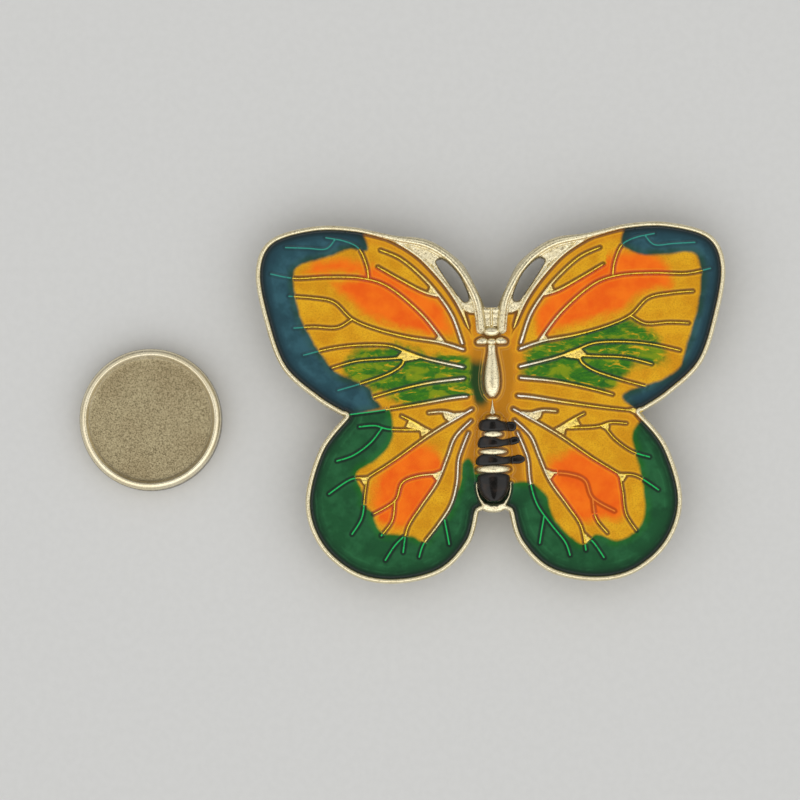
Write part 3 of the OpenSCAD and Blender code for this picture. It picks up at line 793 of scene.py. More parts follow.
def mirrored(line, side):
    return line * np.array([side, 1])


def straight(points, step, closed=False):
    """Points about step apart on the straight pieces between a list of points."""
    return evenly(np.array(points, float), step, closed)


def half_outline():
    return np.concatenate([straight(TAIL_EDGE, 0.2), smooth(HINDWING_EDGE), smooth(FOREWING_EDGE)[1:]])


def both_halves(half):
    """Closed loop from a half that starts on the centre line and its mirror image."""
    return np.concatenate([half, mirrored(half, -1)[::-1][:-1]])


OUTLINE = both_halves(half_outline())
SLOT_LOOP = smooth(SLOT, 0.15, closed=True)
SLOT_LOOPS = [mirrored(SLOT_LOOP, side) for side in (1, -1)]
FRONT_BEAD = rows(smooth(FRONT_EDGE, 0.15), [0.27])
ANTENNA_LINE = smooth(ANTENNA, 0.15)
NECK_RIDGE = straight([[0, 11.3], [0, 9.5]], 0.1)
TIP_LINE = smooth(TIP_RIM, 0.15)
OUTLINE_RING = ring(OUTLINE)
SLOT_RING = ring(SLOT_LOOP)
WEB_LOOPS = [np.array(web, float) for web in WEBS]
PLATE_LOOPS = [np.array(plate, float) for plate in [*FRONT_PLATES, NECK_PLATE]]
POOL_LOOP = straight([*POOL, [0, 0]], 0.25, closed=True)
# Everything below the line between the wings
WAIST_LOOP = np.concatenate([smooth(WAIST), [[0, -20], [24, -20], [24, -0.5]]])


@functools.lru_cache(None)
def zone_loops(side):
    """The colour zones of one side as closed loops, in the right half's frame."""
    zones = ZONES[side]
    fore = np.concatenate([smooth(zones["fore_border"]), [[-1, -1], [-1, 21]]])
    last_x, last_y = zones["hind_border"][-1]
    hind = np.concatenate([smooth(zones["hind_border"]), [[-1, last_y], [-1, 3], [last_x + 15, 3]]])
    colors = {
        name: [smooth(loop, 0.25, closed=True) for loop in zones[name]]
        for name in ("fore_orange", "fore_green", "hind_orange", "pool_green")
    }
    return fore, hind, colors


def border_depth(p, side):
    """How deep each point is in the dark border of its wing."""
    fore, hind, _ = zone_loops(side)
    return np.where(inside(p, WAIST_LOOP), -depth(p, hind), -depth(p, fore))


@functools.lru_cache(None)
def vein_lines(side):
    """Each vein's line and, at each of its points, how far it stands out of the enamel (1 or 0)."""
    lines = [smooth(points) for points in FOREWING_VEINS + HINDWING_VEINS]
    return [(line, 1 - covered(line, side)) for line in lines]


def half_round(distance, half_width, low, high, fullness=0.5):
    """Height of a ridge: half-round, or flatter on top with less than half fullness."""
    return low + (high - low) * np.clip(1 - (distance / half_width) ** 2, 0, 1) ** fullness


def across(p, line, reach):
    """Signed distance of each point to the left of a line, and how far along the line it is."""
    gap, along = near(p, line, reach)
    at = np.clip((along * (len(line) - 1)).astype(int), 0, len(line) - 2)
    step = line[at + 1] - line[at]
    from_start = p - line[at]
    left = step[:, 0] * from_start[:, 1] - step[:, 1] * from_start[:, 0]
    return np.where(left > 0, gap, -gap), along


def vein_half_width(p):
    """Half a vein's width: the veins thin out towards the wing's edge, and are thinner in the hindwing."""
    return VEIN_W / 2 * (0.86 - 0.26 * step_up(3, 16, p[:, 0]) - 0.1 * step_up(1, 0, p[:, 1]))


def front_bead_half_width(p):
    """Half the bead's width: the bead between the wing and the antenna runs out towards the body."""
    return 0.24 - 0.12 * step_up(11.2, 8.8, p[:, 1])


def tip_rim(p):
    """Distance of each point from the rim round the tail's tip, and that rim's half width there."""
    gap, along = near(p, TIP_LINE, 1.0)
    return gap, 0.12 + 0.36 * step_up(0.35, 0.9, along)


def covered(p, side):
    """How much of the metal at each point lies under the border's or the orange enamel (0 to 1)."""
    under_border = step_up(0.05, 0.25, border_depth(p, side))
    if side < 0:
        return under_border
    under_orange = depth(p, zone_loops(side)[2]["hind_orange"][0])
    for ray in (LONG_RAY, LOW_RAY, INNER_RAY):
        under_orange = np.minimum(under_orange, near(p, smooth(ray))[0])
    return np.maximum(under_border, step_up(0.9, 1.2, under_orange))


def plates_and_veins(p, side, lumps):
    """Flat rough places and veins: height (0 beside them), then yellow, rough and dark."""
    outward = step_up(2, 9, p[:, 0])
    yield np.where(near(p, SLOT_RING, 0.5)[0] < 0.45, ENAMEL_Z + 0.14, 0), 0.0, 0.5, 0.0
    hidden = covered(p, side)
    for loop, rise, tint in [(w, 0.3, 0.8) for w in WEB_LOOPS] + [(w, 0.46, 0) for w in PLATE_LOOPS]:
        outside = -depth(p, loop, 1.0)
        height = ENAMEL_Z - 0.2 + rise * step_up(0.12, -0.1, outside) + 0.09 * lumps - 0.3 * hidden
        yield np.where(outside < 0.12, height, 0), tint * outward, 0.9, 0.0
    half = vein_half_width(p)
    sunk_top = ENAMEL_Z - 0.12
    for line, shown in vein_lines(side):
        gap, along = near(p, line, 0.5)
        out = np.interp(along, np.linspace(0, 1, len(line)), shown)
        length = 0.2 * len(line)
        taper = step_up(-0.2, 0.9, along * length) * step_up(-0.2, 0.9, (1 - along) * length)
        top = sunk_top + (VEIN_Z - sunk_top) * out * (0.45 + 0.55 * taper)
        height = half_round(gap, half, ENAMEL_Z - 0.2, top, 0.3)
        yield np.where(gap < half, height, 0), 2 * outward - 1, 0.55, 0.0


def beads(p, lumps):
    """The beads along edges: height (0 beside them), then yellow, rough and dark."""
    gap, _ = near(p, FRONT_BEAD, 0.5)
    half = front_bead_half_width(p)
    top = RIM_Z - 0.02 - 0.36 * step_up(11.6, 8.2, p[:, 1])
    bead = half_round(gap, half, ENAMEL_Z - 0.2, top, 0.4)
    yield np.where(gap < half, bead, 0), 0.8 * step_up(11.5, 9.8, p[:, 1]), 0.35, 0.0

    gap, _ = near(p, NECK_RIDGE, 0.5)
    half = 0.2
    yield np.where(gap < half, half_round(gap, half, ENAMEL_Z - 0.1, RIM_Z + 0.15), 0), 0.0, 0.3, 0.0

    gap, half = tip_rim(p)
    bead = half_round(gap, half, ENAMEL_Z - 0.3, RIM_Z + 0.1) + 0.1 * lumps
    yield np.where(gap < half, bead, 0), 0.0, 0.6, 0.0

    gap, _ = near(p, OUTLINE_RING, 0.9)
    half = RIM_W / 2
    bead = half_round(gap - half, half, ENAMEL_Z - 0.15, RIM_Z)
    yield np.where(gap < RIM_W, bead, 0), 0.0, 0.22 + 0.2 * lumps, 0.0


def antenna(p):
    """The antenna's arch with a groove along its inner side; it runs down into the wing's rim."""
    beside, along = across(p, ANTENNA_LINE, 0.9)
    run_out = step_up(0.6, 0.97, along)
    u = beside / (ANTENNA_HALF_W - 0.33 * run_out)
    arch = np.clip(1 - np.abs(u) ** 2.4, 0, 1) ** 0.5
    foot = ENAMEL_Z - 0.1
    peak = ANTENNA_Z + (RIM_Z - 0.06 - ANTENNA_Z) * run_out
    beading = np.exp(-(((u + 0.84) / 0.09) ** 2)) - np.exp(-(((u + 0.62) / 0.12) ** 2))
    top = foot + (peak - foot) * arch + 0.1 * beading * (1 - run_out)
    groove = np.exp(-(((u + 0.62) / 0.15) ** 2))
    rough = groove + 0.5 * step_up(0.5, 0.9, u) + step_up(0.22, 0.05, along)
    # The third value is painted shade, darker down the antenna's outer slope towards the outline
    return np.where(np.abs(u) < 1, top, 0), 0.0, np.clip(rough, 0.3, 1), 0.25 * step_up(0.6, 1, u)


def metal_relief(p, side):
    """Height of the casting's front over points of the right half, and its "metal" attribute."""
    lumps = grain(p, 0.28, 3.0)
    z = np.full(len(p), FLOOR_Z)
    metal = np.zeros((len(p), 3))
    for height, *looks in [*plates_and_veins(p, side, lumps), *beads(p, lumps), antenna(p)]:
        higher = height > z
        z = np.where(higher, height, z)
        for i, look in enumerate(looks):
            metal[:, i] = np.where(higher, look, metal[:, i])
    slot_gap, _ = near(p, SLOT_RING, 0.5)
    z -= 0.2 * step_up(0.14, 0, slot_gap)
    # Painted shade darkens the metal along the slot's edge
    metal[:, 2] = np.maximum(metal[:, 2], 0.5 * step_up(0.05, 0, slot_gap))
    return z, metal


def casting_back(p):
    """Height of the casting's rear face: a flat border and boss round a shallow hollow."""
    edge = np.min([near(p, ring(loop))[0] for loop in (OUTLINE, *SLOT_LOOPS)], axis=0)
    radius = np.linalg.norm(p, axis=1)
    hollow = step_up(HOLLOW_BORDER - 0.1, HOLLOW_BORDER + 0.2, edge)
    hollow *= step_up(BOSS_R - 0.15, BOSS_R + 0.15, radius)
    rounding = 0.15
    in_rounding = np.clip(rounding - edge, 0, rounding)
    round_off = rounding - np.sqrt(np.clip(rounding**2 - in_rounding**2, 0, 1))
    return BACK_Z + round_off + hollow * (HOLLOW + 0.03 * grain(p, 1.1, 8.0))


def between(upper, lower):
    """Closed solid between two triangulated surfaces whose edges follow the same loops."""
    n = len(upper[0])
    verts = np.concatenate([np.column_stack([s[0], s[2]]) for s in (upper, lower)])
    place = {tuple(np.round(lower[0][i], 3)): i for i in np.unique(rim_edges(lower[1]))}
    walls = []
    for a, b in rim_edges(upper[1]):
        under = [place[tuple(np.round(upper[0][i], 3))] + n for i in (a, b)]
        walls.append((under[0], under[1], b, a))
    return verts, [*upper[1], *(lower[1][:, ::-1] + n), *walls]


def inside_casting(parts):
    """Those points of all parts that are inside the outline and clear of the slots."""
    points = np.concatenate(parts)
    points = points[depth(points, OUTLINE, 1.0) > 0.015]
    for slot in SLOT_LOOPS:
        points = points[depth(points, slot, 1.0) < -0.02]
    return points


def front_points():
    """Points for the casting's front, close together where it has detail."""
    rim_rows = [0.02, 0.05, 0.1, 0.17, 0.24, 0.31, 0.38, 0.45, 0.51, 0.55, 0.58, 0.64]
    bead_rows = [-0.27, -0.24, -0.21, -0.15, -0.08, 0, 0.08, 0.15, 0.21, 0.24, 0.27]
    vein_rows = [-0.19, -0.165, -0.13, -0.1, -0.05, 0, 0.05, 0.1, 0.13, 0.165, 0.19]
    around_slot = grid(SLOT_LOOP.min(0) - 0.5, SLOT_LOOP.max(0) + 0.5, 0.12)
    half = [
        rows(ANTENNA_LINE, np.linspace(-0.56, 0.56, 17)),
        rows(FRONT_BEAD, bead_rows),
        rows(TIP_LINE, np.linspace(-0.48, 0.48, 13)),
        rows(SLOT_LOOP, [-0.06, -0.12, -0.2], closed=True),
        rows(NECK_RIDGE, np.linspace(-0.2, 0.2, 7)),
        around_slot[near(around_slot, SLOT_RING)[0] < 0.5],
        grid((0, 8.3), (2.6, 11.4), 0.11),
    ]
    half += [rows(line, vein_rows) for line, _ in vein_lines(1)]
    for loop in WEB_LOOPS + PLATE_LOOPS:
        fine = grid(loop.min(0) - 0.2, loop.max(0) + 0.2, 0.09)
        half.append(fine[depth(fine, loop) > -0.12])
    parts = [rows(OUTLINE, rim_rows, closed=True), grid(CASTING_LOW, CASTING_HIGH, 0.9)]
    return inside_casting(parts + [mirrored(part, side) for side in (1, -1) for part in half])


def back_points():
    """Points for the casting's rear face, in rows where it rises and falls."""
    edge_rows = [0.03, 0.08, 0.15, 0.7, 1.3, 1.4, 1.5, 1.6]
    turn = np.linspace(0, 2 * math.pi, 200, endpoint=False)
    circle = np.column_stack([np.cos(turn), np.sin(turn)])
    parts = [rows(OUTLINE, edge_rows, closed=True), grid(CASTING_LOW, CASTING_HIGH, 0.55)]
    parts += [radius * circle for radius in BOSS_R + np.array([-0.15, 0, 0.15])]
    for slot, outward in zip(SLOT_LOOPS, (-1, 1)):
        parts.append(rows(slot, [outward * o for o in (0.03, 0.08, 0.15, 1.3, 1.45, 1.6)], closed=True))
    return inside_casting(parts)


def make_casting(material):
    flat, tris = triangulate([OUTLINE, *SLOT_LOOPS], front_points())
    z = np.zeros(len(flat))
    metal = np.zeros((len(flat), 3))
    for side in (1, -1):
        half = flat[:, 0] * side >= 0
        z[half], metal[half] = metal_relief(mirrored(flat[half], side), side)
    low_flat, low_tris = triangulate([OUTLINE, *SLOT_LOOPS], back_points())
    # The rear face's third value, 0.06, is a little painted shade
    low_metal = np.tile([0.1, 0.4, 0.06], (len(low_flat), 1))
    verts, faces = between((flat, tris, z), (low_flat, low_tris, casting_back(low_flat)))
    attributes = [("metal", np.concatenate([metal, low_metal]))]
    nodes = ["casting"]
    return add_object("casting_relief", verts, faces, material, CASTING_SLOT, "brooch", nodes, attributes)


# ---------------------------------------------------------------------------------------------
# Body of the butterfly


def abdomen_dome(p):
    """Height of the rounded abdomen, or 0 beside the abdomen."""
    y, r = np.array(ABDOMEN).T
    radius = np.interp(-p[:, 1], -y, r, left=0, right=0)
    across_it = 1 - (p[:, 0] / np.maximum(radius + 0.2, 0.1)) ** 2
    height = ENAMEL_Z + 0.95 * np.sqrt(np.clip(across_it, 0, 1))
    return np.where((radius > 0) & (across_it > 0), height, 0)


def level(z):
    """Height function of a level face."""
    def height(p):
        return np.full(len(p), z)
    return height


def add_pad(name, loop, top, bottom, material, slot, nodes, step, rough=0.3):
    """Closed solid over an anticlockwise loop, between two height functions."""
    edge_rows = rows(loop, [step * f for f in (0.15, 0.4, 0.8, 1.4)], closed=True)
    points = np.concatenate([edge_rows, grid(loop.min(0), loop.max(0), step)])
    points = points[depth(points, loop) > step * 0.1]
    flat, tris = triangulate([loop], points)
    verts, faces, _ = slab(flat, tris, top(flat), bottom(flat))
    attributes = [("metal", np.tile((0, rough, 0), (len(verts), 1)))]
    return add_object(name, verts, faces, material, slot, "brooch", nodes, attributes)


def pillow(loop, base, rise, edge):
    """Height function of a cushion over a loop: it rises by rise within edge of the loop."""
    def height(p):
        d = np.clip(depth(p, loop), 0, edge) / edge
        return base(p) + rise * np.sqrt(np.clip(1 - (1 - d) ** 2, 0, 1))
    return height


def add_spindle(name, profile, axis_z, squash, material):
    """Solid turned about an axis along Y from [place, radius] points."""
    places = smooth(profile, 0.12)
    first, last = places[0], places[-1]
    rings = [(0, first[0] + first[1] * 0.5), *[(r, y) for y, r in places], (0, last[0] - last[1] * 0.4)]
    verts, faces = lathe(rings, 48)
    turned = [(x, z, axis_z + y * squash) for x, y, z in verts]
    attributes = [("metal", [(0, 0.5, 0)] * len(turned))]
    return add_object(name, turned, faces, material, CASTING_SLOT, "brooch", ["casting"], attributes)


def rib_crown(x, y, half_w, half_h):
    """Height function of a rib's top, over the abdomen."""
    def height(p):
        q = np.clip(1 - ((p[:, 0] - x) / half_w) ** 2 - ((p[:, 1] - y) / half_h) ** 2, 0, 1)
        return np.maximum(abdomen_dome(p), ENAMEL_Z + 0.05) - 0.06 + 0.36 * np.sqrt(q)
    return height


def make_body(material):
    leaf = closed_curve(LEAF, 0.08)
    cushions = [
        # name, outline, rise, width of its rounded edge, mesh step and roughness
        ("head", ellipse(*HEAD), 0.6, 0.5, 0.12, 0.5),
        ("neck_knob", ellipse(*KNOB), 0.6, 0.42, 0.12, 0.45),
        ("shoulder_right", leaf, 0.45, 0.36, 0.09, 0.5),
        ("shoulder_left", mirrored(leaf, -1)[::-1], 0.45, 0.36, 0.09, 0.5),
        ("waist_line", closed_curve(WAIST_DROP, 0.06), 0.25, 0.2, 0.05, 0.3),
    ]
    pads = [
        (name, loop, pillow(loop, level(ENAMEL_Z + 0.02), rise, edge), step, rough)
        for name, loop, rise, edge, step, rough in cushions
    ]
    for i, rib in enumerate(RIBS, 1):
        pads.append((f"abdomen_rib_{i}", ellipse(*rib), rib_crown(*rib), 0.08, 0.45))
    for name, loop, top, step, rough in pads:
        add_pad(name, loop, top, level(FLOOR_Z + 0.2), material, CASTING_SLOT, ["casting"], step, rough)
    add_spindle("thorax", THORAX, ENAMEL_Z, 0.72, material)


# ---------------------------------------------------------------------------------------------
# Enamel


def bed_loop():
    """Edge of one side's enamel, hidden under the rim, in the right half's frame."""
    half = half_outline()
    front_start = int(np.argmin(np.linalg.norm(half - np.array([13, 20]), axis=1)))
    wings = rows(half[:front_start], [0.3])
    front = FRONT_BEAD[3:]
    front = front[front[:, 1] > 11.15]
    top = straight([[2.1, 11.1], [1.5, 10.8], [1.45, 9.2], [0.8, 9.5], [0, 9.9]], 0.25)
    middle = straight([[0, 9.9], [0, -10.15]], 0.25)[1:]
    return np.concatenate([wings, front, top, middle])


def body_loops():
    """Outlines of the body's metal parts beside the enamel, without the thorax."""
    return [smooth(LEAF, 0.1, closed=True), *[ellipse(*part) for part in (HEAD, KNOB, *RIBS)]]


def body_gap(p):
    """Distance of each point from the body's metal."""
    y, r = np.array(THORAX).T
    thorax = np.column_stack([r, y])
    thorax = np.concatenate([thorax, mirrored(thorax, -1)[::-1]])
    return np.min([-depth(p, loop) for loop in (thorax, *body_loops())], axis=0)


def metal_gap(p, side):
    """Distances of each point from bare metal, from a sunken vein and from the rim."""
    sinking = step_up(9.6, 8.6, p[:, 1])
    bead = near(p, FRONT_BEAD)[0] - front_bead_half_width(p) + 0.3 * sinking
    rim = np.minimum(near(p, OUTLINE_RING)[0] - RIM_W, bead)
    bare = np.minimum(rim, body_gap(p))
    sunk = np.full(len(p), REACH)
    half = vein_half_width(p)
    for line, shown in vein_lines(side):
        gap, along = near(p, line, 1.5)
        out = np.interp(along, np.linspace(0, 1, len(line)), shown)
        bare = np.minimum(bare, gap - half + REACH * step_up(0.7, 0.3, out))
        sunk = np.minimum(sunk, gap + REACH * step_up(0.45, 0.75, out))
    tip_gap, tip_half = tip_rim(p)
    bare = np.minimum(bare, tip_gap - tip_half)
    hidden = covered(p, side)
    for loop in WEB_LOOPS + PLATE_LOOPS:
        bare = np.minimum(bare, -depth(p, loop, 1.0) + REACH * hidden)
    return np.clip(bare, -1, REACH), sunk, np.clip(rim, 0, REACH)


def enamel_height(p, gaps):
    """The enamel creeps up the metal round it and dips in the pool round the body."""
    bare, sunk, _ = gaps
    z = ENAMEL_Z + 0.07 * np.exp(-np.clip(bare, 0, REACH) / 0.11) + 0.012 * grain(p, 2.2, 5.0)
    z += 2.5 * np.clip(bare, -0.16, 0)
    z += 0.02 * step_up(0.3, 0.05, sunk)
    z -= 0.05 * step_up(0, 0.9, depth(p, POOL_LOOP)) * step_up(0.0, 0.6, np.clip(body_gap(p), 0, REACH))
    return np.maximum(z, abdomen_dome(p) - 0.08)


def bed_points(loop, side):
    """Points for one side's enamel, close together beside metal and sunken veins."""
    beside = [0.08, 0.13, 0.17, 0.22, 0.28, 0.35, 0.43, 0.55]
    parts = [
        grid(loop.min(0), loop.max(0), 0.3),
        rows(half_outline(), [0.54, 0.58, 0.62, 0.67, 0.75, 0.85, 1.0, 1.2]),
        rows(FRONT_BEAD, [0.2, 0.24, 0.28, 0.35, 0.45, 0.6]),
    ]
    parts += [rows(line, [0, *beside, *[-o for o in beside]]) for line, _ in vein_lines(side)]
    for edge in WEB_LOOPS + PLATE_LOOPS:
        parts.append(rows(edge, [-0.2, -0.12, -0.05, 0.02, 0.09, 0.16, 0.26], closed=True))
    for edge in body_loops():
        parts.append(rows(edge, [-0.1, -0.02, 0.06, 0.14, 0.24], closed=True))
    fine = grid((0, -10), (2.8, 9.6), 0.14)
    parts.append(fine[depth(fine, POOL_LOOP) > 0])
    points = np.concatenate(parts)
    return points[depth(points, loop) > 0.03]


def zone_attributes(p, side):
    """The "zones" attribute for each kind of enamel, and the "pool" attribute."""
    fore, hind, colors = zone_loops(side)
    outside = np.full(len(p), -REACH)

    def deepest(name, allowed=True):
        found = np.max([outside, *[depth(p, zone) for zone in colors[name]]], axis=0)
        return np.where(allowed, found, outside)

    def beside(line):
        return across(p, line, 60)[0]

    # The veins stop the forewing's colours, but the orange passes the spur's outer end
    past_spur = p[:, 0] > 12.2
    above_spar = beside(smooth(SPAR)) < 0
    below_spur = beside(smooth(SPUR)) >= 0
    above_low = beside(smooth(LOW_VEIN if side > 0 else WAIST)) < 0
    fore_orange = deepest("fore_orange", above_spar & (below_spur | past_spur))
    fore_green = deepest("fore_green", above_low & ~above_spar)
    fore_zones = np.column_stack([fore_orange, fore_green, -depth(p, fore)])

    below_ray = beside(np.concatenate([smooth(LONG_RAY), smooth(LOW_RAY)[1:]])) < 0
    hind_orange = deepest("hind_orange", below_ray & (beside(smooth(INNER_RAY)) > 0))
    hind_zones = np.column_stack([hind_orange, outside, -depth(p, hind)])

    in_hind = beside(smooth(WAIST)) > 0
    pool_zones = np.where(in_hind[:, None], hind_zones, fore_zones)
    pool = np.column_stack([depth(p, POOL_LOOP), deepest("pool_green"), np.zeros(len(p))])
    return {"fore": fore_zones, "hind": hind_zones, "pool": pool_zones}, pool


def pour_areas(p, side):
    """Which places belong to each pour, with its slot and its kind of enamel."""
    fore, hind, colors = zone_loops(side)

    def any_of(name):
        return np.any([inside(p, zone) for zone in colors[name]], axis=0)

    in_pool = inside(p, POOL_LOOP)
    in_hind = inside(p, WAIST_LOOP) & ~in_pool
    in_fore = ~in_hind & ~in_pool
    fore_light = in_fore & inside(p, fore)
    hind_light = in_hind & inside(p, hind)
    fore_orange = any_of("fore_orange")
    fore_green = any_of("fore_green") & ~fore_orange
    hind_orange = any_of("hind_orange")
    return {
        "forewing_teal": (in_fore & ~fore_light, "enamel_teal", "fore"),
        "forewing_orange": (fore_light & fore_orange, "enamel_orange", "fore"),
        "forewing_green": (fore_light & fore_green, "enamel_green", "fore"),
        "forewing_amber": (fore_light & ~fore_green & ~fore_orange, "enamel_amber", "fore"),
        "hindwing_green": (in_hind & ~hind_light, "enamel_dark_green", "hind"),
        "hindwing_orange": (hind_light & hind_orange, "enamel_orange", "hind"),
        "hindwing_amber": (hind_light & ~hind_orange, "enamel_amber", "hind"),
        "body_enamel": (in_pool, "enamel_body", "pool"),
    }


def upper_normals(verts, tris):
    """Normals of a whole triangulated surface, so that its pieces meet without a visible seam."""
    a, b, c = (verts[tris[:, i]] for i in range(3))
    face_normals = np.cross(b - a, c - a)
    normals = np.zeros((len(verts), 3))
    for i in range(3):
        np.add.at(normals, tris[:, i], face_normals)
    return normals / (np.linalg.norm(normals, axis=1)[:, None] + 1e-12)


def make_enamels(side, word, materials):
    """One side's enamel: a single surface, cut into a solid piece for each pour."""
    loop = bed_loop()
    fore, hind, colors = zone_loops(side)
    lines = [fore[:-2], hind[:-3], smooth(WAIST)[2:], POOL_LOOP[:-1]]
    lines += [ring(zone) for loops in colors.values() for zone in loops]
    flat, tris = triangulate([loop], bed_points(loop, side), lines)
    gaps = metal_gap(flat, side)
    z = enamel_height(flat, gaps)
    gaps = np.column_stack(gaps)
    zones, pool = zone_attributes(flat, side)
    normals = upper_normals(np.column_stack([flat, z]), tris)
    floor = np.full(len(flat), FLOOR_Z + 0.02)
    mirror = np.array([side, 1, 1])
    for name, (chosen, slot, kind) in pour_areas(flat[tris].mean(1), side).items():
        verts, faces, used = slab(flat, tris[chosen], z, floor)
        if side < 0:
            faces = [tuple(face)[::-1] for face in faces]
        both = np.concatenate([used, used])
        attributes = [("zones", zones[kind][both]), ("lines", gaps[both]), ("pool", pool[both])]
        obj = add_object(
            f"{name}_{word}_enamel", verts * mirror, faces, materials[kind], slot, "brooch",
            [f"{name}_{word}"], attributes,
        )
        turned = np.concatenate([normals[used], np.tile([0, 0, -1.0], (len(used), 1))]) * mirror
        obj.data.normals_split_custom_set_from_vertices(turned.tolist())


def make_bands(material):
    """Black bands with lobes laid over the abdomen and the enamel to the right of it."""
    def ground(p):
        return np.maximum(abdomen_dome(p) - 0.02, ENAMEL_Z - 0.1)

    def under(p):
        return ground(p) - 0.2

    pads = [("black_tip", "abdomen_tip", BLACK_TIP, 0.24, 0.5, 0.12)]
    for i, band in enumerate(BANDS, 1):
        pads.append((f"black_band_{i}", f"abdomen_band_{i}", band, 0.22, 0.3, 0.1))
    for name, node, points, rise, edge, step in pads:
        loop = closed_curve(points)
        add_pad(name, loop, pillow(loop, ground, rise, edge), under, material, "enamel_black", [node], step)


# ---------------------------------------------------------------------------------------------
# Magnet capsules

# The shell from its wall over the bead into the tray: how far in from the wall and down from the top
SHELL_BEAD = [
    (0, 1.1), (0.02, 0.75), (0.06, 0.52), (0.13, 0.34), (0.23, 0.19), (0.36, 0.09), (0.48, 0.03),
    (0.55, 0.005), (0.6, 0), (0.65, 0.01), (0.7, 0.035), (0.8, 0.13), (0.92, 0.27), (1.02, 0.38),
    (1.1, 0.45), (1.16, 0.485),
]
# The epoxy outside the tray: radius and height over the shell's top
SQUEEZE_OUT = [(6.75, -0.12), (7.0, -0.03), (7.25, -0.02), (7.42, 0.04), (7.5, 0.1), (7.56, 0.17)]


def make_shell(name, node, center_x, body, material, seed):
    """Pressed shell with a bead round its shallow tray and a pocket for the magnet underneath."""
    r = SHELL_R
    pocket_r, pocket_h = MAGNET_HIGH[0] + 0.1, MAGNET_HIGH[2] + 0.1
    turns = np.linspace(0, math.pi / 2, 6)
    corner = [(r - 0.4 + 0.4 * math.sin(t), 0.4 - 0.4 * math.cos(t)) for t in turns]
    upper = [(r - inward, SHELL_TOP - down) for inward, down in SHELL_BEAD]
    floor = [(x, TRAY_Z - 0.015 * (1 - (x / 6.4) ** 2)) for x in np.arange(6.2, 0.3, -0.4)]
    profile = [(0, pocket_h), (pocket_r, pocket_h), (pocket_r, 0.06), (pocket_r + 0.06, 0)]
    profile += [*corner, (r, 1.2), *upper, *floor, (0, TRAY_Z - 0.015)]

    def wobble(t, radius, z):
        if radius < r - 1.2 or z < 0.5:
            return 0
        return 0.02 * noise.noise((2 * math.cos(t), 2 * math.sin(t), z + seed))

    verts, faces = lathe(profile, 160, wobble)
    verts = np.array(verts, float)
    radius = np.hypot(verts[:, 0], verts[:, 1])
    on_floor = (verts[:, 2] > TRAY_Z - 0.1) & (radius < r - 0.8)
    on_wall = (verts[:, 2] < SHELL_TOP - 0.75) & (radius > pocket_r + 0.5)
    sandy = np.where(on_floor, step_up(r - 0.85, r - 1.2, radius), 0.12)
    dents = 0.02 * grain(verts[:, :2], 2.5, seed) * step_up(r - 1, r - 1.6, radius)
    verts[:, 2] += np.where(on_floor, dents, 0)
    verts[:, 0] += center_x
    # The second value marks the lower outer wall for painted shade
    attributes = [("metal", np.column_stack([sandy, np.where(on_wall, 0.45, 0), np.zeros(len(verts))]))]
    return add_object(name, verts, faces, material, "gold_plated_shell", body, [node], attributes)


def make_bond(material):
    """Epoxy in the fixed shell's tray, squeezed out a little round its bead."""
    profile = [(0, TRAY_Z), (3, TRAY_Z), (6.4, TRAY_Z)]
    profile += [(radius, SHELL_TOP + rise) for radius, rise in SQUEEZE_OUT]
    profile += [(radius, BACK_Z + 0.02) for radius in (7.6, 4, 0)]

    def wobble(t, radius, _):
        grow = noise.noise((2.2 * math.cos(t), 2.2 * math.sin(t), 4)) - 0.4
        return 0.3 * grow if radius > 7.2 else 0

    verts, faces = lathe(profile, 120, wobble)
    return add_object("bond_squeeze_out", verts, faces, material, "clear_glue", "brooch", ["capsule_bond"])


def dress_cad_nodes(nickel_plate, glue):
    """Magnets and their glue keep the CAD's shape, with better materials."""
    for body in ("fixed", "backing"):
        for name, material in ((f"{body}_magnet", nickel_plate), (f"{body}_magnet_glue", glue)):
            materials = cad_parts[name].data.materials
            if not materials:
                materials.append(material)
            for i in range(len(materials)):
                materials[i] = material


# ---------------------------------------------------------------------------------------------
# Floor, light and camera


def make_floor():
    """A square of floor, laid out in tiles."""
    half_side, tiles = 0.4, 8
    at = np.linspace(-half_side, half_side, tiles + 1)
    verts = [(x, y, 0) for y in at for x in at]
    wide = tiles + 1
    corners = [j * wide + i for j in range(tiles) for i in range(tiles)]
    mesh = bpy.data.meshes.new("floor")
    mesh.from_pydata(verts, [], [(c, c + 1, c + wide + 1, c + wide) for c in corners])
    mesh.materials.append(table_top())
    obj = bpy.data.objects.new("floor", mesh)
    bpy.context.scene.collection.objects.link(obj)


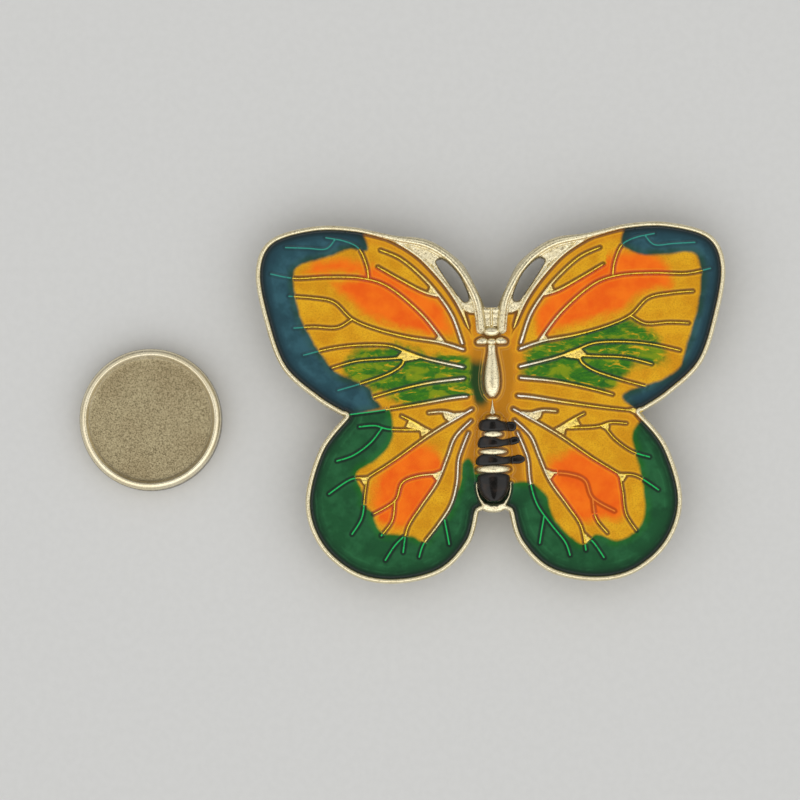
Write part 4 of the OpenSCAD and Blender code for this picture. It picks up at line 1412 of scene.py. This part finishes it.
def make_world():
    """A soft tent of light: bright all round, dimmer near the horizon and dark right overhead."""
    world = bpy.data.worlds.new("studio_tent")
    world.use_nodes = True
    nodes, links = world.node_tree.nodes, world.node_tree.links
    place = nodes.new("ShaderNodeTexCoord")
    split = nodes.new("ShaderNodeSeparateXYZ")
    ramp = nodes.new("ShaderNodeValToRGB")
    ramp.color_ramp.interpolation = "EASE"
    # Height from 0 at the horizon to 1 overhead, and the light there
    stops = [(0.0, 0.3), (0.08, 0.5), (0.35, 0.9), (0.6, 1.5), (0.955, 1.5), (0.985, 0.03)]
    elements = ramp.color_ramp.elements
    while len(elements) < len(stops):
        elements.new(0.5)
    for element, (at, light) in zip(elements, stops):
        element.position = at
        element.color = (light, light, light, 1)
    # The light falls off towards the head's side
    fall_off = nodes.new("ShaderNodeMapRange")
    for label, value in (("From Min", -0.3), ("From Max", 0.85), ("To Min", 1.15), ("To Max", 0.45)):
        fall_off.inputs[label].default_value = value
    dimmed = nodes.new("ShaderNodeVectorMath")
    dimmed.operation = "SCALE"
    links.new(place.outputs["Generated"], split.inputs[0])
    links.new(split.outputs["Z"], ramp.inputs[0])
    links.new(split.outputs["Y"], fall_off.inputs["Value"])
    links.new(ramp.outputs[0], dimmed.inputs[0])
    links.new(fall_off.outputs[0], dimmed.inputs["Scale"])
    links.new(dimmed.outputs[0], nodes["Background"].inputs["Color"])
    nodes["Background"].inputs["Strength"].default_value = 0.85
    bpy.context.scene.world = world


def make_camera():
    """Almost straight down, with the butterfly on the right of the frame and the backing on the left."""
    view_width, distance, tilt, roll = 0.085, 0.45, math.radians(3), math.radians(0.75)
    aim_x, aim_y = -0.58, 0.4
    data = bpy.data.cameras.new("camera")
    data.sensor_width = 36
    data.lens = data.sensor_width * distance / view_width
    data.clip_start = 0.01
    middle = (np.minimum(BACKING_LOW, CASTING_LOW) + CASTING_HIGH) / 2
    target = Vector((middle[0] + aim_x, middle[1] + aim_y, ENAMEL_Z)) * MM
    obj = bpy.data.objects.new("camera", data)
    obj.location = target + Vector((0, -math.sin(tilt), math.cos(tilt))) * distance
    obj.rotation_euler = (tilt, 0, -roll)
    bpy.context.scene.collection.objects.link(obj)
    bpy.context.scene.camera = obj


# ---------------------------------------------------------------------------------------------
# The brooch

make_camera()
make_floor()
make_world()
bpy.context.scene.view_settings.view_transform = "Standard"

gold = casting_gold()
shell_plate = shell_gold()
glue = clear_glue()
make_casting(gold)
make_body(gold)
enamels = {
    "fore": enamel("forewing_enamel", TEAL, TEAL_EDGE, TEAL_DEEP, SUNK_TEAL, vein_shadow_and_band_strength=0.3),
    "hind": enamel("hindwing_enamel", DARK_GREEN, GREEN_EDGE, DARK_GREEN_DEEP, SUNK_GREEN),
    "pool": enamel("body_pool_enamel", DARK_GREEN, GREEN_EDGE, DARK_GREEN_DEEP, SUNK_GREEN, pool=True),
}
make_enamels(1, "right", enamels)
make_enamels(-1, "left", enamels)
make_bands(black_enamel())
make_shell("fixed_capsule_shell", "fixed_shell", 0, "brooch", shell_plate, 1.0)
make_shell("backing_capsule_shell", "backing_shell", BACKING_X, "backing", shell_plate, 7.0)
make_bond(glue)
dress_cad_nodes(nickel(), glue)
